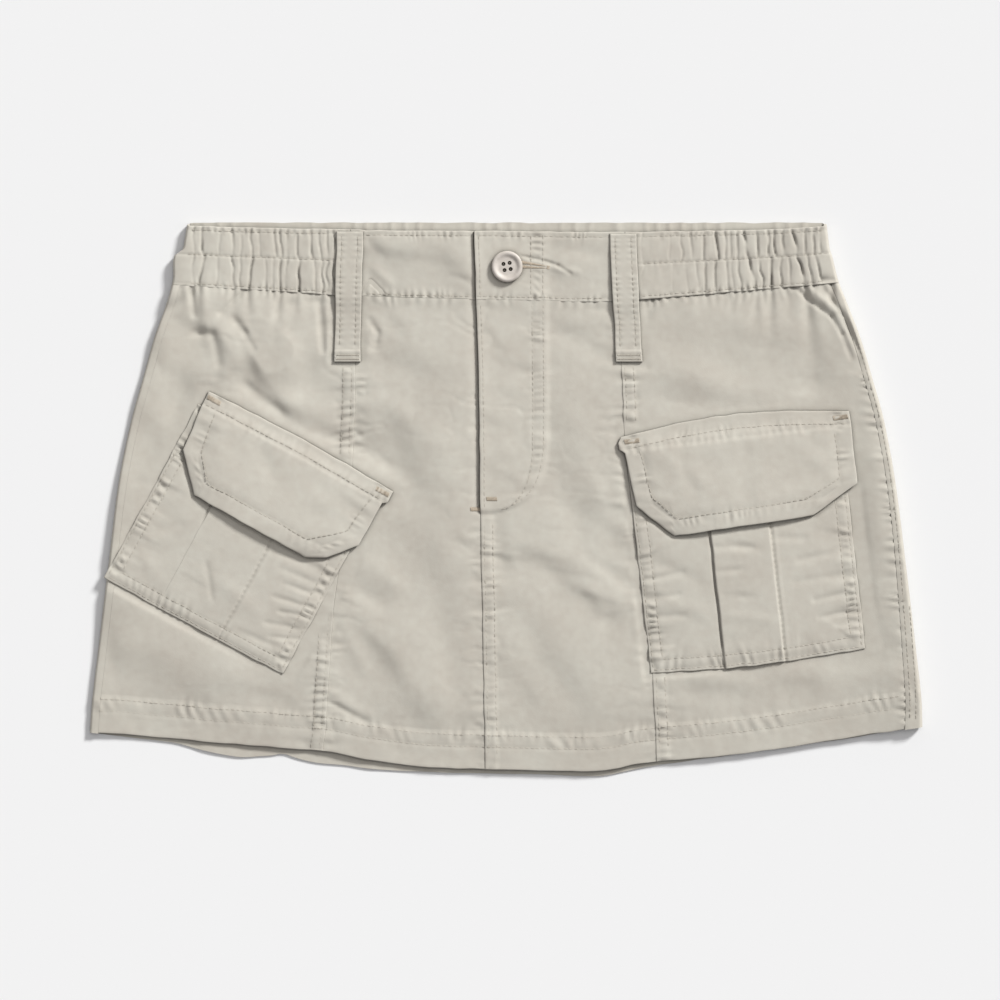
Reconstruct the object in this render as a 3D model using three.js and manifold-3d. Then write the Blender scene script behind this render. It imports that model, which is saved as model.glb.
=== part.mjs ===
// Cargo utility skirt, laid flat on its back with its front up.
// Millimetres. +X runs to the right across the front, +Y to the waist, +Z up from the surface it lies on.
import * as THREE from "three";
import { mergeVertices } from "three/addons/utils/BufferGeometryUtils.js";
import Module from "manifold-3d";

const wasm = await Module();
wasm.setup();

// Driving sizes
const CLOTH = 1.2; // wall of a panel
const BAND = 1.9; // wall of the doubled waistband
const GAP = 0.3; // between two pieces at a seam
const LAYER = 4.0; // top of the front cloth, above the surface the skirt lies on
const BAND_TOP = 4.9; // top of the front waistband
const SIDE_RISE = 2.0; // how much the side folds stand above the layers
const SIDE_REACH = 24; // how far in from the edge that rise fades
const FOLD_DEPTH = 4.2; // half an ellipse across each side fold
const HEM_DEPTH = 21; // turned and stitched hem
const HEM_RISE = 0.6;
const HEM_BLEND = 1.5; // how wide the step is at the hem's upper edge
const HEM_Y = -140; // about where the hem is
const FLY_RISE = 0.9;
const FLY_BLEND = 3; // how wide the step is round the fly
const FLY_LAP = 1; // how far left of the centre seam the fly's own rise starts
const DEEPEST_FOLD = 1.3;
const SKIN = 0.4; // what gathers and stitching can sink into, on the outer side of a wall
const LOOP_WIDTH = 15;
const LOOP_WALL = 1.4;
const LOOP_ARCH = 0.9; // how much a belt loop's middle stands off the waistband
const LOOP_FOLD = 0.8; // its turned and barred foot
const LOOP_STEP = 11; // how far below the waistband a loop comes down to the cloth

const CLOTH_COLOUR = 0xc5c0b4;
const BUTTON_COLOUR = 0xcbc3bb;

// Outline: a row gives the left and right edge at a height, from the waist to the hem.
const OUTLINE = [
  { y: 156.5, left: -180.0, right: 181.0 },
  { y: 146.0, left: -181.8, right: 182.3 },
  { y: 141.0, left: -183.0, right: 183.0 },
  { y: 137.0, left: -187.6, right: 184.4 },
  { y: 124.0, left: -188.3, right: 187.6 },
  { y: 112.0, left: -191.4, right: 192.2 },
  { y: 90.0, left: -199.2, right: 200.6 },
  { y: 67.0, left: -205.6, right: 207.4 },
  { y: 44.5, left: -211.9, right: 213.6 },
  { y: 11.0, left: -218.8, right: 219.8 },
  { y: -34.0, left: -224.4, right: 225.6 },
  { y: -80.0, left: -230.0, right: 231.1 },
  { y: -113.5, left: -234.0, right: 234.8 },
  { y: -132.0, left: -235.4, right: 235.4 },
];

// Edges that run across: a row gives the height of each at a place along X.
const ACROSS = [
  { x: -236, waist: 121.0, hem: -131.6, backHem: -131.9, bandTop: 155.0 },
  { x: -188, waist: 120.4, hem: -135.4, backHem: -138.0, bandTop: 154.6 },
  { x: -160, waist: 119.0, hem: -138.2, backHem: -144.5, bandTop: 153.8 },
  { x: -128, waist: 117.2, hem: -140.7, backHem: -145.6, bandTop: 153.0 },
  { x: -100, waist: 115.3, hem: -143.0, backHem: -149.4, bandTop: 152.6 },
  { x: -76, waist: 114.0, hem: -147.8, backHem: -152.8, bandTop: 151.8 },
  { x: -45, waist: 113.1, hem: -151.6, backHem: -154.4, bandTop: 151.4 },
  { x: -12, waist: 112.3, hem: -152.8, backHem: -155.2, bandTop: 151.3 },
  { x: 20, waist: 111.8, hem: -153.6, backHem: -155.9, bandTop: 151.0 },
  { x: 53, waist: 111.2, hem: -153.4, backHem: -156.5, bandTop: 150.8 },
  { x: 80, waist: 113.0, hem: -149.2, backHem: -151.4, bandTop: 151.0 },
  { x: 122, waist: 116.4, hem: -145.4, backHem: -145.6, bandTop: 151.6 },
  { x: 168, waist: 120.3, hem: -139.0, backHem: -139.3, bandTop: 153.0 },
  { x: 190, waist: 122.2, hem: -135.4, backHem: -135.8, bandTop: 154.6 },
  { x: 236, waist: 122.6, hem: -128.4, backHem: -128.8, bandTop: 155.2 },
];
const BACK_TOP = 156.5; // the back waistband shows above the front one
const WAIST_Y = 118; // the waist seam at the gathers, near enough to place them

// Seams that run down the front: a row gives the place of each seam at a height.
const SEAMS = [
  { y: 152, princessLeft: -88.0, centre: -18.1, princessRight: 66.0 },
  { y: 112, princessLeft: -88.0, centre: -17.0, princessRight: 62.4 },
  { y: 77, princessLeft: -85.0, centre: -15.6, princessRight: 65.0 },
  { y: 26, princessLeft: -86.4, centre: -14.9, princessRight: 67.6 },
  { y: -16, princessLeft: -89.6, centre: -14.4, princessRight: 73.4 },
  { y: -50, princessLeft: -96.0, centre: -13.8, princessRight: 77.2 },
  { y: -97, princessLeft: -99.8, centre: -12.9, princessRight: 82.4 },
  { y: -120, princessLeft: -101.2, centre: -12.4, princessRight: 83.8 },
  { y: -157, princessLeft: -104.6, centre: -11.8, princessRight: 85.6 },
];

// Side seams: a row gives how far each lies in from the edge of the laid skirt.
const SIDE_SEAMS = [
  { y: 157, left: 5.0, right: 5.0 },
  { y: 34, left: 5.0, right: 5.0 },
  { y: -25, left: 5.0, right: 5.6 },
  { y: -76, left: 5.0, right: 7.6 },
  { y: -132, left: 5.0, right: 10.2 },
];

// Soft folds of the front: each runs from one place to another, with half its width and its height.
const FOLDS = [
  { x0: -153, y0: 101, x1: -142, y1: 84, half: 6, rise: -1.1 },
  { x0: -142, y0: 84, x1: -138, y1: 66, half: 8, rise: -1.0 },
  { x0: -160, y0: 99, x1: -150, y1: 82, half: 7, rise: 1.6 },
  { x0: -132, y0: 92, x1: -122, y1: 72, half: 9, rise: 1.3 },
  { x0: -175, y0: 94, x1: -164, y1: 92, half: 5, rise: -0.9 },
  { x0: -165, y0: 92, x1: -162, y1: 76, half: 6, rise: -0.8 },
  { x0: -105, y0: 111, x1: -103, y1: 80, half: 4, rise: -0.9 },
  { x0: -192, y0: 106, x1: -178, y1: 117, half: 5, rise: -0.9 },
  { x0: 167, y0: 119, x1: 184, y1: 102, half: 5, rise: -1.2 },
  { x0: 174, y0: 124, x1: 190, y1: 96, half: 5, rise: 0.8 },
  { x0: 183, y0: 110, x1: 196, y1: 82, half: 4, rise: -1.2 },
  { x0: 100, y0: 92, x1: 170, y1: 74, half: 16, rise: -0.8 },
  { x0: -76, y0: -56, x1: -46, y1: -112, half: 12, rise: -0.9 },
  { x0: -40, y0: -60, x1: -30, y1: -120, half: 13, rise: 0.9 },
  { x0: 14, y0: -80, x1: 64, y1: -116, half: 12, rise: -0.9 },
  { x0: 30, y0: -60, x1: 74, y1: -92, half: 10, rise: 1.0 },
  { x0: -101, y0: -114, x1: -80, y1: -124, half: 4, rise: -1.0 },
  { x0: 34, y0: 60, x1: 56, y1: 10, half: 12, rise: 0.7 },
];

// Gathers of the elastic waistband, where the cloth is drawn in, from the belt loop outwards: the place
// of each trough at the waistband's upper edge and foot, and its depth.
const GATHERS = {
  left: [
    { top: -97.0, foot: -97.5, deep: 0.7 },
    { top: -101.3, foot: -101.0, deep: 0.9 },
    { top: -106.0, foot: -105.0, deep: 0.6 },
    { top: -110.4, foot: -108.4, deep: 0.9 },
    { top: -117.4, foot: -117.8, deep: 1.0 },
    { top: -123.7, foot: -124.3, deep: 0.5 },
    { top: -129.0, foot: -128.4, deep: 1.0 },
    { top: -139.7, foot: -137.0, deep: 0.6 },
    { top: -144.0, foot: -145.8, deep: 0.9 },
    { top: -154.4, foot: -154.2, deep: 0.7 },
    { top: -171.5, foot: -169.5, deep: 0.6 },
    { top: -176.0, foot: -174.0, deep: 0.9 },
  ],
  right: [
    { top: 98.9, foot: 103.0, deep: 0.4 },
    { top: 104.5, foot: 108.5, deep: 0.4 },
    { top: 111.9, foot: 113.2, deep: 0.6 },
    { top: 117.6, foot: 119.6, deep: 0.9 },
    { top: 123.2, foot: 125.8, deep: 0.6 },
    { top: 128.8, foot: 132.0, deep: 0.8 },
    { top: 134.4, foot: 141.2, deep: 1.1 },
    { top: 141.8, foot: 146.0, deep: 0.6 },
    { top: 149.0, foot: 150.6, deep: 1.0 },
    { top: 156.0, foot: 155.8, deep: 0.7 },
    { top: 161.2, foot: 160.6, deep: 0.7 },
    { top: 165.6, foot: 169.8, deep: 1.1 },
    { top: 170.6, foot: 175.0, deep: 0.7 },
    { top: 175.6, foot: 181.0, deep: 1.0 },
  ],
};
const GATHER_FADE = 30; // how far the gathers run down into the cloth below the waistband
const BACK_GATHERS = 20; // as many again round the back
const BACK_WAVE = 0.35; // how much those stand up inside, over a flat underside
const STITCH_ROW = 0.47; // the waistband's middle stitching, as a share of its height
const STITCH_GROOVE = 0.5;

// Fly: the J of stitching that holds it down, from the waist seam to the bottom of the opening.
const FLY_EDGE = [
  { y: 112, right: 23.0 },
  { y: 29, right: 23.2 },
  { y: 16, right: 21.2 },
  { y: 7, right: 17.6 },
  { y: 0, right: 11.5 },
  { y: -5, right: 2.5 },
  { y: -8, right: -8.0 },
];
const FLY_FOOT = -9;

// Cargo pockets: the flap's upper corner, its turn, and the corners of flap and bag in the pocket's own
// frame, where u runs along the flap's upper edge and v down from it.
const POCKETS = [
  {
    side: "left",
    x: -168.4,
    y: 61.0,
    turn: -28.5,
    flapWidth: 119.0,
    flapDepth: 56.0,
    flapLeft: [
      { u: 0.4, v: 0 },
      { u: 3.8, v: 36 },
      { u: 21.5, v: 55.4 },
    ],
    flapRight: [
      { u: 119.4, v: 0 },
      { u: 114.8, v: 37 },
      { u: 104.0, v: 51 },
      { u: 93.0, v: 56.2 },
    ],
    arch: 1.5,
    bagLeft: -1.2,
    bagRight: 113.6,
    bagFoot: 120.5,
    bagSag: 0.6,
    pleatLeft: 33.0,
    pleatRight: 71.5,
  },
  {
    side: "right",
    x: 65.0,
    y: 35.0,
    turn: 6.5,
    flapWidth: 129.6,
    flapDepth: 59.0,
    flapLeft: [
      { u: 0.0, v: 0 },
      { u: 4.0, v: 40 },
      { u: 23.5, v: 59.0 },
    ],
    flapRight: [
      { u: 129.6, v: 0 },
      { u: 129.4, v: 41 },
      { u: 103.0, v: 56.4 },
    ],
    arch: 5.5,
    bagLeft: 1.6,
    bagRight: 123.6,
    bagFoot: 134.4,
    bagSag: 2.4,
    pleatLeft: 44.0,
    pleatRight: 77.5,
  },
];
const BAG_TOP = 9; // the bag's mouth lies this far under the flap's upper edge
const BAG_FULL = 1.0; // how much the middle of a bag stands up
const PLEAT_RISE = 0.9;
const FLAP_LIFT = 0.9; // how much the flap's free edge stands off the bag
const FLAP_FULL = 0.4; // how much fuller it is below the strip along which it is sewn down
const SEWN_STRIP = 0.15; // that strip, as a share of the flap's depth

// Belt loops: the middle of the upper and lower end, and the lift over the waistband.
const LOOPS = [
  { side: "left", xTop: -88.1, yTop: 151.0, xFoot: -89.8, yFoot: 77.4 },
  { side: "right", xTop: 66.0, yTop: 149.8, xFoot: 69.5, yFoot: 77.4 },
];

const mix = (a, b, t) => a + (b - a) * t;
const clamp = (t) => Math.min(1, Math.max(0, t));
const ease = (t) => clamp(t) ** 2 * (3 - 2 * clamp(t));
const bump = (d) => Math.exp(-d * d);
const TINY = 1e-6;

// The value of one column of a table at a place, on a smooth curve through its rows.
function read(table, key, column, at) {
  const rising = table[0][key] < table[table.length - 1][key];
  const rows = rising ? table : [...table].reverse();
  const last = rows.length - 1;
  if (at <= rows[0][key]) return rows[0][column];
  if (at >= rows[last][key]) return rows[last][column];
  const i = rows.findIndex((row, n) => n < last && at < rows[n + 1][key]);
  const slope = (a, b) =>
    (rows[b][column] - rows[a][column]) / (rows[b][key] - rows[a][key]);
  const start = i === 0 ? slope(0, 1) : slope(i - 1, i + 1);
  const end = i + 1 === last ? slope(i, last) : slope(i, i + 2);
  const width = rows[i + 1][key] - rows[i][key];
  const t = (at - rows[i][key]) / width;
  return (
    (2 * t ** 3 - 3 * t ** 2 + 1) * rows[i][column] +
    (t ** 3 - 2 * t ** 2 + t) * width * start +
    (3 * t ** 2 - 2 * t ** 3) * rows[i + 1][column] +
    (t ** 3 - t ** 2) * width * end
  );
}

// The place along a cut edge of straight stretches, from its corners.
function readStraight(corners, v) {
  const next = Math.max(1, corners.findIndex((corner) => corner.v >= v - TINY));
  const a = corners[next - 1];
  const b = corners[next];
  return mix(a.u, b.u, clamp((v - a.v) / (b.v - a.v)));
}

const edge = (side, y) => read(OUTLINE, "y", side, y);
const across = (column, x) => read(ACROSS, "x", column, x);
const seam = (column, y) => read(SEAMS, "y", column, y);
const sideSeam = {
  left: (y) => edge("left", y) + read(SIDE_SEAMS, "y", "left", y),
  right: (y) => edge("right", y) - read(SIDE_SEAMS, "y", "right", y),
};

// Distance from a point to a fold's line.
function fromFold(fold, x, y) {
  const dx = fold.x1 - fold.x0;
  const dy = fold.y1 - fold.y0;
  const length = Math.hypot(dx, dy);
  const along = ((x - fold.x0) * dx + (y - fold.y0) * dy) / length ** 2;
  const t = clamp(along);
  return Math.hypot(x - fold.x0 - dx * t, y - fold.y0 - dy * t);
}

// How much the cloth stands up near the side folds.
function sideRise(x, y) {
  const fromLeft = Math.max(0, x - edge("left", y));
  const fromRight = Math.max(0, edge("right", y) - x);
  return SIDE_RISE * (bump(fromLeft / SIDE_REACH) + bump(fromRight / SIDE_REACH));
}

// Pocket frame: a place on the skirt to (u, v) and back.
function toPocket(pocket, x, y) {
  const a = THREE.MathUtils.degToRad(pocket.turn);
  const dx = x - pocket.x;
  const dy = y - pocket.y;
  return { u: dx * Math.cos(a) + dy * Math.sin(a), v: dx * Math.sin(a) - dy * Math.cos(a) };
}
function fromPocket(pocket, u, v) {
  const a = THREE.MathUtils.degToRad(pocket.turn);
  return {
    x: pocket.x + u * Math.cos(a) + v * Math.sin(a),
    y: pocket.y + u * Math.sin(a) - v * Math.cos(a),
  };
}

// 1 on open cloth, 0 under what lies on it, so that pockets and loops have a flat seat. Each seat
// reaches a margin past the piece, and the folds come back over a short blend.
const POCKET_SEAT = { sides: 4, top: 10, foot: 6, blend: 8 };
const LOOP_SEAT = { sides: 2, foot: 4, blend: 5 };

function openCloth(x, y) {
  let open = 1;
  for (const pocket of POCKETS) {
    const { u, v } = toPocket(pocket, x, y);
    const outside = Math.max(
      Math.max(-u, u - pocket.flapWidth) - POCKET_SEAT.sides,
      -v - POCKET_SEAT.top,
      v - pocket.bagFoot - POCKET_SEAT.foot,
    );
    open = Math.min(open, ease(outside / POCKET_SEAT.blend));
  }
  for (const loop of LOOPS) {
    const t = clamp((loop.yTop - y) / (loop.yTop - loop.yFoot));
    const outside = Math.max(
      Math.abs(x - mix(loop.xTop, loop.xFoot, t)) - LOOP_WIDTH / 2 - LOOP_SEAT.sides,
      loop.yFoot - y - LOOP_SEAT.foot,
    );
    open = Math.min(open, ease(outside / LOOP_SEAT.blend));
  }
  return open;
}

function folds(x, y) {
  let rise = 0;
  for (const fold of FOLDS) {
    rise += fold.rise * bump(fromFold(fold, x, y) / fold.half);
  }
  return Math.max(-DEEPEST_FOLD, rise) * openCloth(x, y);
}

function flyRise(x, y) {
  if (y < FLY_FOOT) return 0;
  const left = seam("centre", y);
  const right = read(FLY_EDGE, "y", "right", y);
  if (x < left - FLY_LAP) return 0;
  return FLY_RISE * ease((right - x) / FLY_BLEND + 0.5) * ease((y - FLY_FOOT) / FLY_BLEND);
}

const hemRise = (x, y) => HEM_RISE * ease((across("hem", x) + HEM_DEPTH - y) / HEM_BLEND);

// Smooth top of the front cloth, and the same with its small relief.
const clothTop = (x, y) => LAYER + sideRise(x, y) + folds(x, y);
const clothRelief = (x, y) => flyRise(x, y) + hemRise(x, y) + SKIN;
const frontTop = (x, y) => clothTop(x, y) + clothRelief(x, y);

const clothMaterial = () =>
  new THREE.MeshStandardMaterial({ color: CLOTH_COLOUR, roughness: 0.9, metalness: 0 });

// A mesh from points and triangles, with its faces turned outwards.
function closedMesh(name, points, triangles, material) {
  const position = new Float32Array(points.flat());
  let volume = 0;
  for (const [a, b, c] of triangles) {
    const [p, q, r] = [a, b, c].map((n) => new THREE.Vector3(...points[n]));
    volume += p.dot(q.cross(r));
  }
  const turned = volume < 0 ? triangles.map(([a, b, c]) => [a, c, b]) : triangles;
  const geometry = new THREE.BufferGeometry();
  geometry.setAttribute("position", new THREE.BufferAttribute(position, 3));
  geometry.setIndex(turned.flat());
  geometry.computeVertexNormals();
  const mesh = new THREE.Mesh(geometry, material);
  mesh.name = name;
  return mesh;
}

// A closed wall between two grids of points, outer and inner, joined by a rim.
function wall(name, rows, columns, outerAt, innerAt) {
  const points = [];
  for (const at of [outerAt, innerAt]) {
    for (const row of rows) {
      for (const column of columns) points.push(at(row, column));
    }
  }
  const wide = columns.length;
  const high = rows.length;
  const outer = (i, j) => i * wide + j;
  const inner = (i, j) => wide * high + i * wide + j;
  const triangles = [];
  const quad = (a, b, c, d) => triangles.push([a, b, c], [a, c, d]);
  for (let i = 0; i + 1 < high; i++) {
    for (let j = 0; j + 1 < wide; j++) {
      quad(outer(i, j), outer(i + 1, j), outer(i + 1, j + 1), outer(i, j + 1));
      quad(inner(i, j), inner(i, j + 1), inner(i + 1, j + 1), inner(i + 1, j));
    }
    quad(outer(i, 0), inner(i, 0), inner(i + 1, 0), outer(i + 1, 0));
    quad(outer(i, wide - 1), outer(i + 1, wide - 1), inner(i + 1, wide - 1), inner(i, wide - 1));
  }
  for (let j = 0; j + 1 < wide; j++) {
    quad(outer(0, j), outer(0, j + 1), inner(0, j + 1), inner(0, j));
    quad(outer(high - 1, j), inner(high - 1, j), inner(high - 1, j + 1), outer(high - 1, j + 1));
  }
  return closedMesh(name, points, triangles, clothMaterial());
}

const steps = (count) => Array.from({ length: count + 1 }, (_, n) => n / count);

const PANEL_STEPS = 15; // rows from the waist to the hem's upper edge
const WAIST_CROWDING = 1.25; // draws those rows towards the waist
const PLACING_PASSES = 5; // rounds in which a point's X and Y settle on curved edges

// Rows of every panel, closer together at the waist: shares of its height down to the hem, then
// places above the hem's edge.
const PANEL_ROWS = [
  ...steps(PANEL_STEPS).map((t) => ({ share: t ** WAIST_CROWDING })),
  { up: HEM_DEPTH - HEM_BLEND },
  { up: HEM_DEPTH / 2 },
  { up: 0 },
];

function rowPlace(row, x, edgeBelow) {
  const hem = across(edgeBelow, x);
  if (row.up !== undefined) return hem + row.up;
  return mix(across("waist", x) - GAP / 2, hem + HEM_DEPTH, row.share);
}

// Columns that follow the gathers: one down each trough and one down each ridge between two. Each
// has its place at the waistband's upper edge and foot, and its depth.
function gatherColumns(side) {
  const troughs = GATHERS[side];
  return troughs.flatMap((trough, n) => {
    if (n + 1 === troughs.length) return [trough];
    const next = troughs[n + 1];
    const ridge = {
      top: (trough.top + next.top) / 2,
      foot: (trough.foot + next.foot) / 2,
      deep: 0,
    };
    return [trough, ridge];
  });
}

// The same columns on the panel below, as shares of its width at the waist.
function gatheredColumns(side, leftSeam, rightSeam) {
  const from = leftSeam(WAIST_Y);
  const width = rightSeam(WAIST_Y) - from;
  const inside = gatherColumns(side).map((column) => ({
    share: (column.foot - from) / width,
    deep: column.deep,
  }));
  const plain = { left: [0.93], right: [0.07, 0.14, 0.21] }[side].map((share) => ({ share, deep: 0 }));
  const ends = [0, 1].map((share) => ({ share, deep: 0 }));
  return [...inside, ...plain, ...ends].sort((a, b) => a.share - b.share);
}

// One panel of the front, between two seams that run down.
function frontPanel(name, leftSeam, rightSeam, columns) {
  const place = (row, share) => {
    let y = row.up === undefined ? mix(WAIST_Y, HEM_Y, row.share) : HEM_Y + row.up;
    let x = 0;
    for (let pass = 0; pass < PLACING_PASSES; pass++) {
      x = mix(leftSeam(y) + GAP / 2, rightSeam(y) - GAP / 2, share);
      y = rowPlace(row, x, "hem");
    }
    return [x, y];
  };
  const outerAt = (row, column) => {
    const [x, y] = place(row, column.share);
    const fade = ease(1 - (across("waist", x) - y) / GATHER_FADE) * openCloth(x, y);
    return [x, y, frontTop(x, y) - column.deep * fade];
  };
  const innerAt = (row, column) => {
    const [x, y] = place(row, column.share);
    return [x, y, clothTop(x, y) - CLOTH];
  };
  return wall(name, PANEL_ROWS, columns, outerAt, innerAt);
}

// Places round a laid tube: from the front's left seam round the left fold, along the back, round
// the right fold and back to the front's right seam. xAt gives a front column's place at a height.
function roundTheBack(frontColumns, foldSteps, backSteps) {
  const arc = Array.from({ length: foldSteps + 1 }, (_, n) => n / foldSteps);
  const inside = steps(backSteps).slice(1, -1);
  const front = (side) => frontColumns(side).map((column) => ({ part: "front", side, ...column }));
  const fold = (side) => arc.map((turn) => ({ part: "fold", side, turn }));
  return [
    ...front("left"),
    ...fold("left"),
    ...inside.map((share) => ({ part: "back", share })),
    ...fold("right").reverse(),
    ...front("right").reverse(),
  ];
}

const inward = { left: 1, right: -1 };

// A point of a laid tube, for one column of the round and a row's height at every x. shrink is 0 on
// the outer side and the wall's thickness on the inner side.
function tubePoint(column, yAt, topAt, shrink) {
  let x = 0;
  let y = yAt(0);
  for (let pass = 0; pass < PLACING_PASSES; pass++) {
    if (column.part === "back") {
      const from = edge("left", y) + FOLD_DEPTH;
      const to = edge("right", y) - FOLD_DEPTH;
      x = mix(from, to, column.share);
    }
    if (column.part === "front") x = column.xAt(y);
    if (column.part === "fold") {
      const turnedIn = edge(column.side, y) + inward[column.side] * FOLD_DEPTH;
      const reach = (FOLD_DEPTH - shrink) * Math.sin(Math.PI * column.turn);
      x = turnedIn - inward[column.side] * reach;
    }
    y = yAt(x);
  }
  if (column.part === "back") return [x, y, shrink];
  if (column.part === "front") return [x, y, topAt(x, y) - shrink];
  const turnedIn = edge(column.side, y) + inward[column.side] * FOLD_DEPTH;
  const high = topAt(turnedIn, y);
  const middle = high / 2;
  return [x, y, middle + (middle - shrink) * Math.cos(Math.PI * column.turn)];
}

// Back panel, with the hem's edge a little lower than the front's.
const BACK_FOLD_STEPS = 5;
const BACK_STEPS = 14;
function backPanel() {
  const rowAt = (row) => (x) => rowPlace(row, x, "backHem");
  const seamColumn = (side) => [{ xAt: (y) => sideSeam[side](y) - (inward[side] * GAP) / 2 }];
  const columns = roundTheBack(seamColumn, BACK_FOLD_STEPS, BACK_STEPS);
  const outerAt = (row, column) => tubePoint(column, rowAt(row), frontTop, 0);
  const innerAt = (row, column) => tubePoint(column, rowAt(row), clothTop, CLOTH);
  return wall("back_panel", PANEL_ROWS, columns, outerAt, innerAt);
}

// Waistband, thicker where its right half laps over the left at the button
const bandSmooth = (x, y) => BAND_TOP + sideRise(x, y);
const bandLap = (x) => flyRise(x, across("waist", x) - FLY_LAP);

const BAND_FOLD_STEPS = 6;
const BAND_ROWS = [0, 0.2, STITCH_ROW - 0.06, STITCH_ROW, STITCH_ROW + 0.06, 0.8, 1];
const BAND_JOINTS = { left: -88, right: 67 }; // where it meets the flat waistband, under the loops

function elasticBand() {
  const bandRow = (row) => (x) => mix(across("bandTop", x), across("waist", x) + GAP / 2, row);
  const backRow = (row) => (x) => mix(BACK_TOP, across("waist", x) + GAP / 2, row);
  const rowOf = (row, column) => {
    if (column.part === "back") return backRow(row);
    if (column.part === "front") return bandRow(row);
    return (x) => mix(bandRow(row)(x), backRow(row)(x), column.turn);
  };
  const gathered = (side) => {
    const joint = BAND_JOINTS[side] + (side === "left" ? -GAP : GAP) / 2;
    const troughs = gatherColumns(side).map(({ top, foot, deep }) => ({
      deep,
      xAt: (y) => mix(foot, top, clamp((y - WAIST_Y) / (BACK_TOP - WAIST_Y))),
    }));
    return [{ deep: 0, xAt: () => joint }, ...troughs];
  };
  const columns = roundTheBack(gathered, BAND_FOLD_STEPS, 2 * BACK_GATHERS);
  const outerAt = (row, column) => {
    const point = tubePoint(column, rowOf(row, column), bandSmooth, 0);
    const drawn = (column.deep ?? 0) + (row === STITCH_ROW ? STITCH_GROOVE : 0);
    if (column.part === "front") point[2] += SKIN - drawn;
    return point;
  };
  const innerAt = (row, column) => {
    const point = tubePoint(column, rowOf(row, column), bandSmooth, BAND);
    if (column.part === "back") {
      point[2] += BACK_WAVE * Math.cos(2 * Math.PI * BACK_GATHERS * column.share);
    }
    return point;
  };
  return wall("waistband_elastic", BAND_ROWS, columns, outerAt, innerAt);
}

const FLAT_BAND_ROWS = [0, 0.08, 0.5, 0.92, 1];
function flatBand(name, from, to, columns) {
  const place = (row, column) => {
    let y = BUTTON.y;
    let x = 0;
    for (let pass = 0; pass < PLACING_PASSES; pass++) {
      x = mix(from(y) + GAP / 2, to(y) - GAP / 2, column);
      y = mix(across("bandTop", x), across("waist", x) + GAP / 2, row);
    }
    return [x, y];
  };
  const outerAt = (row, column) => {
    const [x, y] = place(row, column);
    return [x, y, bandSmooth(x, y) + SKIN + bandLap(x)];
  };
  const innerAt = (row, column) => {
    const [x, y] = place(row, column);
    return [x, y, bandSmooth(x, y) - BAND + GAP];
  };
  return wall(name, FLAT_BAND_ROWS, columns, outerAt, innerAt);
}

// Belt loop: a strip stitched down at both ends, standing just clear of the waistband between them.
const LOOP_FREE = 0.91; // the share of its length above the folded foot
function beltLoop(loop) {
  const rows = [0, 0.06, 0.2, 0.4, 0.52, 0.6, 0.72, 0.86, LOOP_FREE - 0.01, LOOP_FREE + 0.01, 1];
  const columns = [0, 0.5, 1];
  const seat = (x, y) => {
    const aboveFoot = y - across("waist", x);
    return SKIN + mix(clothTop(x, y), bandSmooth(x, y), ease((aboveFoot + LOOP_STEP) / LOOP_STEP));
  };
  const place = (row, column) => {
    const x = mix(loop.xTop, loop.xFoot, row) + (column - 0.5) * LOOP_WIDTH;
    return [x, mix(loop.yTop, loop.yFoot, row)];
  };
  const under = (row, column) => {
    const [x, y] = place(row, column);
    const arch = LOOP_ARCH * Math.sin(Math.PI * clamp(row / LOOP_FREE)) ** 2;
    return seat(x, y) + GAP + arch;
  };
  const outerAt = (row, column) => {
    const [x, y] = place(row, column);
    const folded = row > LOOP_FREE ? LOOP_FOLD : 0;
    return [x, y, under(row, column) + LOOP_WALL + folded];
  };
  const innerAt = (row, column) => [...place(row, column), under(row, column)];
  return wall(`belt_loop_${loop.side}`, rows, columns, outerAt, innerAt);
}

// Pocket bag, its foot sagging a little, with a raised box pleat down its middle.
const BAG_CROWN = 0.7; // under 1 it fills out towards the bag's edges
const PLEAT_BLEND = 1.2; // how wide the pleat's step is
const PLEAT_EDGE = 0.8; // from its middle to the columns beside it
const bagUnder = (x, y) => clothTop(x, y) + SKIN + GAP;

function bagFoot(pocket, share) {
  return pocket.bagFoot + pocket.bagSag * Math.sin(Math.PI * share);
}

function bagHeight(pocket, u, v) {
  const across01 = clamp((u - pocket.bagLeft) / (pocket.bagRight - pocket.bagLeft));
  const down01 = clamp(v / pocket.bagFoot);
  const crown = (Math.sin(Math.PI * across01) * Math.sin(Math.PI * down01)) ** BAG_CROWN;
  const inPleat = Math.min(u - pocket.pleatLeft, pocket.pleatRight - u);
  return CLOTH + BAG_FULL * crown + PLEAT_RISE * ease(inPleat / PLEAT_BLEND + 0.5);
}

function pocketBag(pocket) {
  const width = pocket.bagRight - pocket.bagLeft;
  const share = (u) => (u - pocket.bagLeft) / width;
  const pleat = [pocket.pleatLeft, pocket.pleatRight]
    .flatMap((u) => [u - PLEAT_EDGE, u + PLEAT_EDGE])
    .map(share);
  const columns = [0, 0.07, 0.18, ...pleat, 0.82, 0.93, 1];
  const rows = [0, 0.16, 0.32, 0.46, 0.6, 0.74, 0.88, 0.95, 1];
  const place = (row, column) => {
    const u = mix(pocket.bagLeft, pocket.bagRight, column);
    return { u, v: mix(BAG_TOP, bagFoot(pocket, column), row) };
  };
  const at = (row, column, height) => {
    const { u, v } = place(row, column);
    const { x, y } = fromPocket(pocket, u, v);
    return [x, y, bagUnder(x, y) + height(u, v)];
  };
  const outerAt = (row, column) => at(row, column, (u, v) => bagHeight(pocket, u, v));
  const innerAt = (row, column) => at(row, column, () => 0);
  return wall(`pocket_${pocket.side}_bag`, rows, columns, outerAt, innerAt);
}

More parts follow.
